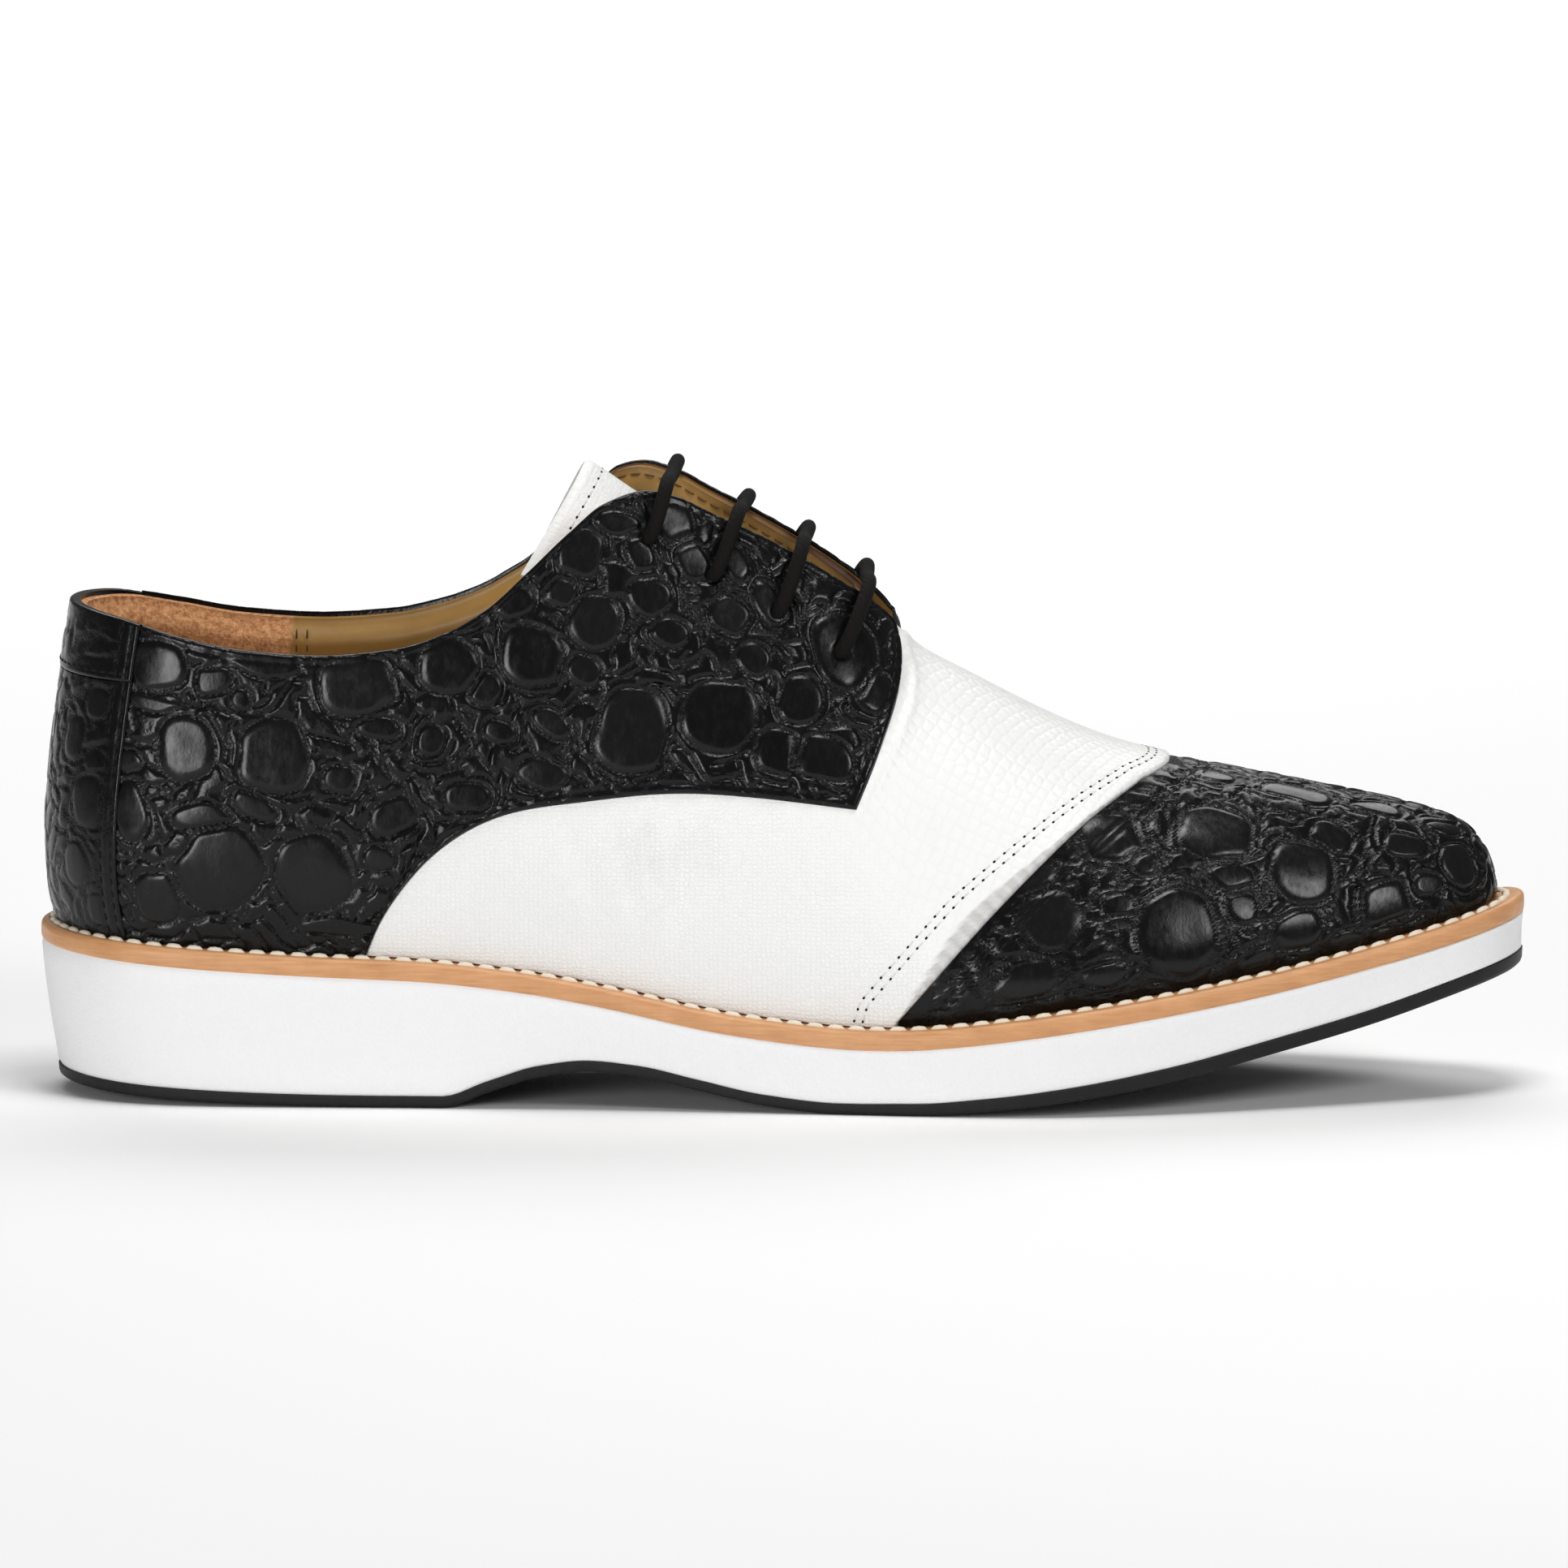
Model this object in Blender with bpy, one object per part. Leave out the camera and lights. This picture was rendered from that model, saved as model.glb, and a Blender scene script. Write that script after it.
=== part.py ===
"""A laced dress shoe on a white wedge sole: black scaled-leather toe and quarters, white vamp, tan welt.

The shoe is a right shoe. +X points to the toe, +Z up, -Y is its lateral (outer) side.
All sizes below are in millimetres; meshes are written in metres.
"""

import math
from collections import namedtuple

import bmesh
import bpy
import numpy as np

MM = 0.001
LATERAL, MEDIAL = -1, 1

# Driving dimensions
SOLE_LENGTH = 304.5
HEEL_NOSE_RADIUS = 34.0
TOE_NOSE_RADIUS = 27.0
TOE_SWING = 1.5
PLAN_SHIFT = -1.3
GAP = 0.3

# Thicknesses, and levels measured outwards from the lasted surface
OUTSOLE_THICKNESS = 2.2
WELT_THICKNESS = 4.0
WELT_WIDTH = 12.0
WELT_ROUNDING = 0.8
INSOLE_THICKNESS = 3.0
UPPER_LEVEL = -1.8
UPPER_WALL = 2.0
PANEL_FLOOR = -1.1
TOE_LEVEL = 0.0
VAMP_LEVEL = 0.7
QUARTER_LEVEL = 1.4
STRIP_LEVEL = 1.9
TAB_LEVEL = 2.3
TONGUE_THICKNESS = 2.2
LACE_DIAMETER = 2.8
EYELET_DIAMETER = 4.0

# Distance from the welt's edge in to the lasted surface
HEEL_MARGIN = 4.8
SIDE_MARGIN = 5.2
TOE_MARGIN = 6.0

# Plan of the welt's edge: half widths either side of the centre line
Plan = namedtuple("Plan", "x lateral medial")
PLAN = [
    Plan(-140.0, 26.0, 26.0),
    Plan(-120.0, 33.0, 32.5),
    Plan(-90.0, 34.5, 33.0),
    Plan(-60.0, 36.0, 31.5),
    Plan(-30.0, 39.0, 32.5),
    Plan(0.0, 42.5, 38.0),
    Plan(30.0, 47.0, 46.5),
    Plan(55.0, 48.5, 50.0),
    Plan(80.0, 44.5, 46.5),
    Plan(105.0, 36.5, 38.0),
    Plan(125.0, 28.5, 29.0),
    Plan(140.0, 21.0, 21.0),
]

# Side profiles of the sole: underside of the outsole, and underside of the welt
Sole = namedtuple("Sole", "x tread welt")
SOLE = [
    Sole(-152.0, 0.0, 31.0),
    Sole(-120.0, 0.0, 28.8),
    Sole(-90.0, 0.0, 27.2),
    Sole(-70.0, 0.0, 26.2),
    Sole(-61.0, 3.1, 25.3),
    Sole(-50.0, 6.6, 23.9),
    Sole(-40.0, 7.9, 22.2),
    Sole(-30.0, 7.1, 20.2),
    Sole(-18.0, 4.5, 17.6),
    Sole(-4.0, 1.5, 15.4),
    Sole(12.0, 0.0, 13.9),
    Sole(28.0, 0.0, 14.0),
    Sole(42.0, 1.0, 15.4),
    Sole(60.0, 3.2, 17.8),
    Sole(80.0, 6.7, 20.8),
    Sole(100.0, 11.4, 24.2),
    Sole(120.0, 16.3, 28.3),
    Sole(140.0, 22.2, 33.1),
    Sole(152.0, 25.6, 36.4),
]

# How far the sole's side leans in from the welt's edge down to the tread
Lean = namedtuple("Lean", "x amount")
LEAN = [Lean(-152.0, 3.6), Lean(-110.0, 2.4), Lean(-40.0, 1.6), Lean(60.0, 1.2), Lean(152.0, 0.4)]

# Crest of the lasted surface. Behind the throat it runs up where the leg would be.
Crest = namedtuple("Crest", "x z")
CREST = [
    Crest(-150.0, 172.0),
    Crest(-100.0, 175.0),
    Crest(-62.0, 170.0),
    Crest(-44.0, 160.0),
    Crest(-33.0, 149.0),
    Crest(-16.0, 131.5),
    Crest(3.0, 117.0),
    Crest(14.0, 107.0),
    Crest(25.0, 93.0),
    Crest(34.0, 87.0),
    Crest(52.0, 77.6),
    Crest(72.0, 69.6),
    Crest(92.0, 65.6),
    Crest(119.0, 60.4),
    Crest(133.0, 57.2),
    Crest(147.0, 52.6),
]
CREST_BACK, CREST_FRONT = -115.0, 136.0

# Shape of the cross sections along the shoe
Girth = namedtuple("Girth", "x shoulder taper bulge")
GIRTH = [
    Girth(-148.0, 1.00, 1.00, 0.08),
    Girth(-100.0, 1.00, 1.00, 0.10),
    Girth(-60.0, 1.00, 1.03, 0.09),
    Girth(-20.0, 1.00, 1.10, 0.07),
    Girth(20.0, 1.00, 1.12, 0.06),
    Girth(60.0, 0.95, 1.05, 0.05),
    Girth(100.0, 0.85, 0.95, 0.05),
    Girth(147.0, 0.78, 0.86, 0.05),
]

# Lines drawn on the side of the shoe
Line = namedtuple("Line", "x z")
TOP_LINE = [
    Line(-150.0, 101.8),
    Line(-136.0, 99.9),
    Line(-124.0, 96.8),
    Line(-110.0, 94.2),
    Line(-95.0, 93.3),
    Line(-80.0, 94.6),
    Line(-69.0, 98.0),
    Line(-61.0, 102.5),
    Line(-53.0, 109.6),
    Line(-44.0, 118.0),
    Line(-36.5, 123.8),
    Line(-29.0, 125.8),
    Line(-22.0, 124.0),
    Line(-16.0, 120.8),
    Line(-3.0, 114.0),
    Line(10.0, 105.8),
    Line(17.0, 100.4),
    Line(21.0, 96.2),
]
# How much higher the medial top line stands than the lateral one
Rise = namedtuple("Rise", "x amount")
MEDIAL_RISE = [
    Rise(-140.0, 0.0),
    Rise(-120.0, 1.0),
    Rise(-95.0, 2.2),
    Rise(-80.0, 1.7),
    Rise(-68.0, 0.4),
    Rise(-55.0, -0.5),
    Rise(-45.0, 0.0),
    Rise(-34.0, 1.4),
    Rise(-25.0, 1.6),
    Rise(-5.0, 1.2),
    Rise(10.0, 0.6),
    Rise(21.0, 0.0),
]
QUARTER_FOOT = [
    Line(-85.8, 31.0),
    Line(-83.0, 38.0),
    Line(-79.0, 44.5),
    Line(-73.5, 51.0),
    Line(-66.5, 56.6),
    Line(-57.0, 61.0),
    Line(-42.0, 63.6),
    Line(-25.0, 65.3),
    Line(-8.0, 64.7),
    Line(15.0, 62.0),
]
FACING_FRONT = [
    Line(15.0, 62.0),
    Line(18.4, 70.0),
    Line(21.4, 78.0),
    Line(23.6, 86.0),
    Line(23.4, 91.0),
    Line(21.0, 96.2),
]
TOE_SEAM = [
    Line(23.5, 19.0),
    Line(32.0, 29.0),
    Line(40.0, 38.0),
    Line(52.5, 50.4),
    Line(66.0, 61.4),
    Line(74.0, 66.0),
]
TOE_SEAM_CREST_X = 79.5
THROAT_FRONT_X = 22.0
FACING_LIFT, FACING_LIFT_START = 1.6, 0.55
STRIP_EDGE_X = -136.0
STRIP_CLEARANCE = 0.006
SEAM_GAP = 0.4
TONGUE_CLEARANCE = 1.6
TAB_FOOT_X, TAB_FOOT_Z = -143.0, 87.0
LINING_DROP = 0.8

# Tongue: its crest, and where its edges lie under the side of the shoe
Tongue = namedtuple("Tongue", "x z edge_x edge_z")
TONGUE = [
    Tongue(44.0, 75.8, 42.0, 70.0),
    Tongue(25.0, 86.6, 21.0, 78.0),
    Tongue(14.0, 95.6, 9.0, 86.0),
    Tongue(3.0, 104.0, -3.0, 93.5),
    Tongue(-16.0, 115.6, -24.0, 103.0),
    Tongue(-40.4, 128.4, -52.0, 112.5),
]

# Eyelets on the side of the shoe, top to bottom
Eyelet = namedtuple("Eyelet", "x z")
MEDIAL_PITCH = 0.95
EYELETS = [Eyelet(-27.8, 116.6), Eyelet(-14.4, 108.6), Eyelet(-1.1, 100.8), Eyelet(11.4, 92.6)]

# Mesh counts
STATIONS = 34
HEEL_COLUMNS = 17
FRONT_COLUMNS = 15
LEG_ROWS = 7
WELT_COLUMNS = 7
FOOT_COLUMNS = 13
THROAT_ROWS = 6
CORD_POINTS = 14
CORD_SIDES_SETTING = 2
PUNCH_SIDES = 8


def column(rows, name):
    return np.array([getattr(row, name) for row in rows], float)


def smooth_line(xs, ys):
    """Natural cubic through the rows, running on straight past both ends."""
    xs, ys = np.asarray(xs, float), np.asarray(ys, float)
    step = np.diff(xs)
    slope = np.diff(ys) / step
    count = len(xs)
    matrix, right = np.eye(count), np.zeros(count)
    for i in range(1, count - 1):
        matrix[i, i - 1 : i + 2] = step[i - 1], 2 * (step[i - 1] + step[i]), step[i]
        right[i] = 6 * (slope[i] - slope[i - 1])
    bend = np.linalg.solve(matrix, right)

    def value(x):
        x = np.asarray(x, float)
        inside = np.clip(x, xs[0], xs[-1])
        i = np.clip(np.searchsorted(xs, inside) - 1, 0, count - 2)
        a, b, h = inside - xs[i], xs[i + 1] - inside, step[i]
        curve = (bend[i] * b**3 + bend[i + 1] * a**3) / (6 * h)
        curve = curve + (ys[i] / h - bend[i] * h / 6) * b + (ys[i + 1] / h - bend[i + 1] * h / 6) * a
        first = slope[0] - step[0] * bend[1] / 6
        last = slope[-1] + step[-1] * bend[-2] / 6
        return curve + np.minimum(x - xs[0], 0) * first + np.maximum(x - xs[-1], 0) * last

    return value


def steady_line(xs, ys):
    """Cubic through the rows that never overshoots them, so flats stay flat."""
    xs, ys = np.asarray(xs, float), np.asarray(ys, float)
    step = np.diff(xs)
    slope = np.diff(ys) / step
    grade = np.zeros(len(xs))
    grade[0], grade[-1] = slope[0], slope[-1]
    same_way = slope[:-1] * slope[1:] > 0
    weight_a, weight_b = 2 * step[1:] + step[:-1], step[1:] + 2 * step[:-1]
    safe_a = np.where(same_way, slope[:-1], 1)
    safe_b = np.where(same_way, slope[1:], 1)
    grade[1:-1] = np.where(same_way, (weight_a + weight_b) / (weight_a / safe_a + weight_b / safe_b), 0)

    def value(x):
        inside = np.clip(np.asarray(x, float), xs[0], xs[-1])
        i = np.clip(np.searchsorted(xs, inside) - 1, 0, len(xs) - 2)
        t = (inside - xs[i]) / step[i]
        rise = (3 - 2 * t) * t**2
        run = step[i] * (grade[i] * t * (1 - t) ** 2 - grade[i + 1] * t**2 * (1 - t))
        return ys[i] + (ys[i + 1] - ys[i]) * rise + run

    return value


tread_z = steady_line(column(SOLE, "x"), column(SOLE, "tread"))
welt_z = smooth_line(column(SOLE, "x"), column(SOLE, "welt"))
lean_in = smooth_line(column(LEAN, "x"), column(LEAN, "amount"))
crest_z = smooth_line(column(CREST, "x"), column(CREST, "z"))
shoulder = smooth_line(column(GIRTH, "x"), column(GIRTH, "shoulder"))
taper = smooth_line(column(GIRTH, "x"), column(GIRTH, "taper"))
bulge = smooth_line(column(GIRTH, "x"), column(GIRTH, "bulge"))
medial_rise = steady_line(column(MEDIAL_RISE, "x"), column(MEDIAL_RISE, "amount"))
top_line = steady_line(column(TOP_LINE, "x"), column(TOP_LINE, "z"))


def round_ended(widths):
    """Half width by angle: 0 at the heel, pi at the toe, rounded at both ends."""
    half = SOLE_LENGTH / 2
    angles = np.arccos(-column(PLAN, "x") / half)
    shares = widths / np.sin(angles)
    ends = math.sqrt(HEEL_NOSE_RADIUS * half), math.sqrt(TOE_NOSE_RADIUS * half)
    return smooth_line([0, *angles, math.pi], [ends[0], *shares, ends[1]])


plan_share = {LATERAL: round_ended(column(PLAN, "lateral")), MEDIAL: round_ended(column(PLAN, "medial"))}


def centre_y(x):
    """The centre line swings a little to the medial side at the toe."""
    share = np.clip((np.asarray(x, float) + SOLE_LENGTH / 2) / SOLE_LENGTH, 0, 1)
    return PLAN_SHIFT + TOE_SWING * share**2


def welt_edge(angle, side):
    """Plan point on the welt's edge."""
    x = -SOLE_LENGTH / 2 * np.cos(angle)
    return x, centre_y(x) + side * np.sin(angle) * plan_share[side](angle)


def inset_edge(angle, side, inset):
    """Plan point that far inside the welt's edge, square to it."""
    small = 1e-4
    x, y = welt_edge(angle, side)
    x_a, y_a = welt_edge(angle - small, side)
    x_b, y_b = welt_edge(angle + small, side)
    run, rise = x_b - x_a, y_b - y_a
    length = np.hypot(run, rise)
    return x + side * inset * rise / length, y - side * inset * run / length


def margin(angle):
    """Welt that shows outside the lasted surface: more at the toe, less at the heel."""
    toward_toe = (1 - np.cos(angle)) / 2
    ends = HEEL_MARGIN + (TOE_MARGIN - HEEL_MARGIN) * toward_toe
    return ends + (SIDE_MARGIN - (HEEL_MARGIN + TOE_MARGIN) / 2) * np.sin(angle) ** 2


def feather_z(x):
    """Height where the upper stands on the welt."""
    return welt_z(x) + WELT_THICKNESS + GAP


def lasted(angle, girth):
    """Point on the lasted surface.

    angle: 0 at the heel to pi at the toe. girth: 0 at the lateral welt, pi/2 at the crest, pi at the medial welt.
    """
    angle, girth = np.broadcast_arrays(np.asarray(angle, float), np.asarray(girth, float))
    beyond = (angle < 0) | (angle > math.pi)
    girth = np.where(beyond, math.pi - girth, girth)
    angle = np.where(angle < 0, -angle, np.where(angle > math.pi, 2 * math.pi - angle, angle))
    lift = np.minimum(girth, math.pi - girth)
    x_lat, y_lat = inset_edge(angle, LATERAL, margin(angle))
    x_med, y_med = inset_edge(angle, MEDIAL, margin(angle))
    on_lateral = girth <= math.pi / 2
    base_x, base_y = np.where(on_lateral, x_lat, x_med), np.where(on_lateral, y_lat, y_med)
    middle = (x_lat + x_med) / 2
    back, front = -SOLE_LENGTH / 2 + HEEL_MARGIN, SOLE_LENGTH / 2 - TOE_MARGIN
    crest_x = CREST_BACK + (middle - back) * (CREST_FRONT - CREST_BACK) / (front - back)
    height = np.sin(np.clip(lift, 0, math.pi / 2)) ** taper(middle)
    swell = 15 * height * (1 - height) ** 5
    width = np.clip(np.cos(lift), 0, 1) ** shoulder(middle) * (1 + bulge(middle) * swell)
    x = crest_x + (base_x - crest_x) * width
    y = centre_y(crest_x) + (base_y - centre_y(crest_x)) * width
    foot = feather_z(base_x)
    return np.stack([x, y, foot + (crest_z(x) - foot) * height], axis=-1)


def outward(angle, girth):
    """Unit normal of the lasted surface."""
    angle, girth = np.broadcast_arrays(np.asarray(angle, float), np.asarray(girth, float))
    tiny, right = 1e-6, math.pi / 2
    at_ends = np.abs(np.sin(angle)) < tiny
    crest_ends = at_ends & (np.abs(girth - right) < tiny)
    angle = np.where(crest_ends, np.clip(angle, 0.03, math.pi - 0.03), angle)
    small = 1e-3
    along = lasted(angle + small, girth) - lasted(angle - small, girth)
    low, high = np.maximum(girth - small, 0), np.minimum(girth + small, math.pi)
    around = lasted(angle, high) - lasted(angle, low)
    normal = np.cross(along, around)
    normal[at_ends, 1] = 0.0
    return normal / np.linalg.norm(normal, axis=-1, keepdims=True)


def leather(angle, girth, level):
    """Point at a level outside the lasted surface, kept clear of the welt."""
    point = lasted(angle, girth) + np.asarray(level)[..., None] * outward(angle, girth)
    point[..., 2] = np.maximum(point[..., 2], feather_z(point[..., 0]))
    return point


def side_spot(x, z, side):
    """(angle, girth) of the point of the lasted surface seen at x, z from one side."""
    x, z = np.broadcast_arrays(np.asarray(x, float), np.asarray(z, float))
    coarse_angles, coarse_girths = np.linspace(0.02, math.pi - 0.02, 90), np.linspace(0, 1.5, 40)
    angles, girths = np.meshgrid(coarse_angles, coarse_girths, indexing="ij")
    girths = girths if side == LATERAL else math.pi - girths
    known = lasted(angles, girths).reshape(-1, 3)
    far = (known[:, :1] - x.ravel()) ** 2 + (known[:, 2:] - z.ravel()) ** 2
    nearest = far.argmin(axis=0)
    angle, girth = angles.ravel()[nearest], girths.ravel()[nearest]
    small, longest = 1e-4, 0.05
    for _ in range(25):
        here = lasted(angle, girth)
        by_angle = (lasted(angle + small, girth) - here) / small
        by_girth = (lasted(angle, girth + small) - here) / small
        miss_x, miss_z = x.ravel() - here[:, 0], z.ravel() - here[:, 2]
        area = by_angle[:, 0] * by_girth[:, 2] - by_angle[:, 2] * by_girth[:, 0]
        area = np.where(np.abs(area) < 1e-6, 1e-6, area)
        step_angle = (miss_x * by_girth[:, 2] - miss_z * by_girth[:, 0]) / area
        step_girth = (miss_z * by_angle[:, 0] - miss_x * by_angle[:, 2]) / area
        angle = np.clip(angle + np.clip(step_angle, -longest, longest), 0, math.pi)
        girth = girth + np.clip(step_girth, -longest, longest)
        girth = np.clip(girth, 0, math.pi / 2) if side == LATERAL else np.clip(girth, math.pi / 2, math.pi)
    return angle.reshape(x.shape), girth.reshape(x.shape)


def side_rise(x, side):
    """Added height of the top line on the medial side."""
    amount = medial_rise(x)
    return amount if side == MEDIAL else 0 * amount


# Meshes


def sheet_of(grids):
    """Joins grids of (outer, inner) points into one sheet, welding points that coincide."""
    outer, inner, faces, known = [], [], [], {}

    def index_of(point, under):
        key = tuple(np.round(point, 3))
        if key not in known:
            known[key] = len(outer)
            outer.append(point)
            inner.append(under)
        return known[key]

    for grid_out, grid_in in grids:
        ids = [[index_of(p, q) for p, q in zip(row_p, row_q)] for row_p, row_q in zip(grid_out, grid_in)]
        for i in range(len(ids) - 1):
            for j in range(len(ids[0]) - 1):
                corners = [ids[i][j], ids[i + 1][j], ids[i + 1][j + 1], ids[i][j + 1]]
                face = list(dict.fromkeys(corners))
                if len(face) > 2:
                    faces.append(face)
    return outer, inner, faces


def walled(grids):
    """Closed solid between the outer and inner points of the grids."""
    outer, inner, faces = sheet_of(grids)
    count = len(outer)
    directed = {(f[i], f[(i + 1) % len(f)]) for f in faces for i in range(len(f))}
    rims = [edge for edge in directed if edge[::-1] not in directed]
    solid = faces + [[i + count for i in reversed(face)] for face in faces]
    solid += [[b, a, a + count, b + count] for a, b in sorted(rims)]
    return outer + inner, solid


def lofted(sections):
    """Closed solid through rings of points, the first and last ring each flat and narrow."""
    ring = len(sections[0])
    points = [p for section in sections for p in section]
    faces = []
    for i in range(len(sections) - 1):
        for j in range(ring):
            k = (j + 1) % ring
            faces.append([i * ring + j, i * ring + k, (i + 1) * ring + k, (i + 1) * ring + j])
    faces.append(list(range(ring)))
    last = (len(sections) - 1) * ring
    faces.append([last + j for j in reversed(range(ring))])
    return points, faces


def material_of(name, colour, roughness):
    material = bpy.data.materials.new(name)
    material.use_nodes = True
    shader = material.node_tree.nodes["Principled BSDF"]
    shader.inputs["Base Color"].default_value = (*colour, 1.0)
    shader.inputs["Roughness"].default_value = roughness
    shader.inputs["Metallic"].default_value = 0.0
    return material


def add_solid(name, points, faces, material):
    """Adds a mesh object with its faces turned outwards."""
    mesh = bpy.data.meshes.new(name)
    mesh.from_pydata([tuple(MM * np.asarray(p)) for p in points], [], faces)
    mesh.validate()
    obj = bpy.data.objects.new(name, mesh)
    bpy.context.scene.collection.objects.link(obj)
    face_outwards(mesh)
    mesh.materials.append(material)
    mesh.shade_smooth()
    mesh.set_sharp_from_angle(angle=math.radians(40))
    return obj


def face_outwards(mesh):
    """Welds what coincides and turns every face out."""
    work = bmesh.new()
    work.from_mesh(mesh)
    bmesh.ops.remove_doubles(work, verts=work.verts, dist=1e-6)
    bmesh.ops.recalc_face_normals(work, faces=work.faces)
    bmesh.ops.triangulate(work, faces=work.faces)
    if work.calc_volume(signed=True) < 0:
        bmesh.ops.reverse_faces(work, faces=work.faces)
    work.to_mesh(mesh)
    work.free()


def shell(angles, girths, floor, level):
    """Grid of outer and inner points over the lasted surface."""
    angles, girths = np.asarray(angles, float), np.asarray(girths, float)
    return leather(angles, girths, level + 0 * angles), leather(angles, girths, floor + 0 * angles)


# Upper


def top_girth(angle, side, drop=0.0):
    """Girth at which the section at that angle reaches the collar or the facing's edge."""
    girths = np.linspace(0, math.pi / 2, 600)
    points = lasted(angle, girths if side == LATERAL else math.pi - girths)
    over = points[:, 2] - (top_line(points[:, 0]) + side_rise(points[:, 0], side) - drop)
    first = int(np.argmax(over > 0))
    before, after = over[first - 1], over[first]
    found = girths[first - 1] + (girths[first] - girths[first - 1]) * before / (before - after)
    return found if side == LATERAL else math.pi - found


def build_upper(material, punches):
    """Lining wall of the whole shoe, open at the collar, the throat and underneath."""
    throat_angle = float(crest_angle(THROAT_FRONT_X))
    legs = {}
    for side in (LATERAL, MEDIAL):
        foot = 0.0 if side == LATERAL else math.pi
        angles = throat_angle * np.linspace(0, 1, HEEL_COLUMNS) ** 1.15
        tops = np.array([top_girth(a, side, LINING_DROP) for a in angles])
        shares = np.linspace(0, 1, LEG_ROWS + 1)
        girths = foot + (tops - foot)[:, None] * shares
        legs[side] = np.repeat(angles[:, None], LEG_ROWS + 1, axis=1), girths
    rear_row = np.concatenate([
        legs[LATERAL][1][-1],
        np.linspace(legs[LATERAL][1][-1][-1], legs[MEDIAL][1][-1][-1], THROAT_ROWS + 1)[1:-1],
        legs[MEDIAL][1][-1][::-1],
    ])
    even_row = np.linspace(0, math.pi, len(rear_row))
    blend = np.linspace(0, 1, FRONT_COLUMNS + 1) ** 1.3
    angles = throat_angle + (math.pi - throat_angle) * blend
    girths = rear_row + (even_row - rear_row) * np.minimum(blend * 1.6, 1)[:, None]
    front = np.repeat(angles[:, None], len(rear_row), axis=1), girths
    floor = UPPER_LEVEL - UPPER_WALL
    grids = [shell(*part, floor, UPPER_LEVEL) for part in (legs[LATERAL], legs[MEDIAL], front)]
    mirrored = grids[1][0][:, ::-1], grids[1][1][:, ::-1]
    points, faces = walled([grids[0], mirrored, grids[2]])
    upper = add_solid("upper", points, faces, material)
    cut_with(upper, punches)
    return upper


def crest_angle(x):
    """Angle of the section whose crest lies at x."""
    angles = np.linspace(0, math.pi, 2000)
    crest = lasted(angles, np.full_like(angles, math.pi / 2))[:, 0]
    return np.interp(x, crest, angles)


# Panels over the upper


def drawn(line, count, aside=0.0):
    """Points evenly spread along a line drawn on the side, moved square to it towards the toe."""
    xs, zs = column(line, "x"), column(line, "z")
    run = np.concatenate([[0], np.cumsum(np.hypot(np.diff(xs), np.diff(zs)))])
    x_of, z_of = smooth_line(run, xs), smooth_line(run, zs)
    along, small = np.linspace(0, run[-1], count), 0.01
    dx, dz = x_of(along + small) - x_of(along - small), z_of(along + small) - z_of(along - small)
    length = np.hypot(dx, dz)
    return x_of(along) + aside * dz / length, z_of(along) - aside * dx / length


def round_to_crest(angle, girth, crest, count):
    """Carries a line of spots on to the crest, meeting it square."""
    end = math.pi / 2
    share = np.linspace(1, 0, count + 1)[1:]
    angles = crest + (angle[-1] - crest) * share**2
    return np.append(angle, angles), np.append(girth, end + (girth[-1] - end) * share)


def over_crest(halves):
    """Lateral rows from the welt up to the crest, continued down the medial side."""
    lateral, medial = halves
    return [np.concatenate([a, b[:, -2::-1]], axis=1) for a, b in zip(lateral, medial)]


def seam_spots(side, count, crest_count, aside):
    """Toe seam from the welt up to the crest."""
    angle, girth = side_spot(*drawn(TOE_SEAM, count, aside), side)
    girth[0] = 0.0 if side == LATERAL else math.pi
    return round_to_crest(angle, girth, float(crest_angle(TOE_SEAM_CREST_X + aside)), crest_count)


def build_toe_cap(material):
    rows, crest_rows, columns = 10, 3, 10
    halves = []
    for side in (LATERAL, MEDIAL):
        angle, girth = seam_spots(side, rows, crest_rows, SEAM_GAP)
        share = np.linspace(0, 1, columns + 1)[:, None]
        even = np.linspace(girth[0], math.pi / 2, len(girth))
        halves.append((angle + (math.pi - angle) * share, girth + (even - girth) * share))
    grid = shell(*over_crest(halves), PANEL_FLOOR, TOE_LEVEL)
    return add_solid("toe_cap", *walled([grid]), material)


def build_vamp(material):
    front_count, crest_rows, columns = 6, 3, 8
    halves = []
    for side in (LATERAL, MEDIAL):
        foot_x, foot_z = drawn(QUARTER_FOOT, FOOT_COLUMNS + 1, SEAM_GAP)
        front_x, front_z = drawn(FACING_FRONT[:-1], front_count, SEAM_GAP)
        xs = np.concatenate([foot_x[:-1], [front_x[0]], front_x[1:]])
        zs = np.concatenate([foot_z[:-1], [foot_z[-1]], front_z[1:]])
        angle_a, girth_a = side_spot(xs, zs, side)
        girth_a[0] = 0.0 if side == LATERAL else math.pi
        throat = float(crest_angle(THROAT_FRONT_X + 2 * SEAM_GAP))
        angle_a, girth_a = round_to_crest(angle_a, girth_a, throat, crest_rows)
        angle_b, girth_b = seam_spots(side, len(angle_a) - crest_rows, crest_rows, 0.0)
        share = np.linspace(0, 1, columns + 1)[:, None]
        halves.append((angle_a + (angle_b - angle_a) * share, girth_a + (girth_b - girth_a) * share))
    grid = shell(*over_crest(halves), PANEL_FLOOR, VAMP_LEVEL)
    return add_solid("vamp", *walled([grid]), material)


def facing_lift(xs, share):
    """The facing's edge stands off the tongue, most at its front end."""
    along = np.clip((xs + 40) / 60, 0, 1)
    return FACING_LIFT * along * np.clip((share - FACING_LIFT_START) / (1 - FACING_LIFT_START), 0, 1) ** 2


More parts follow.
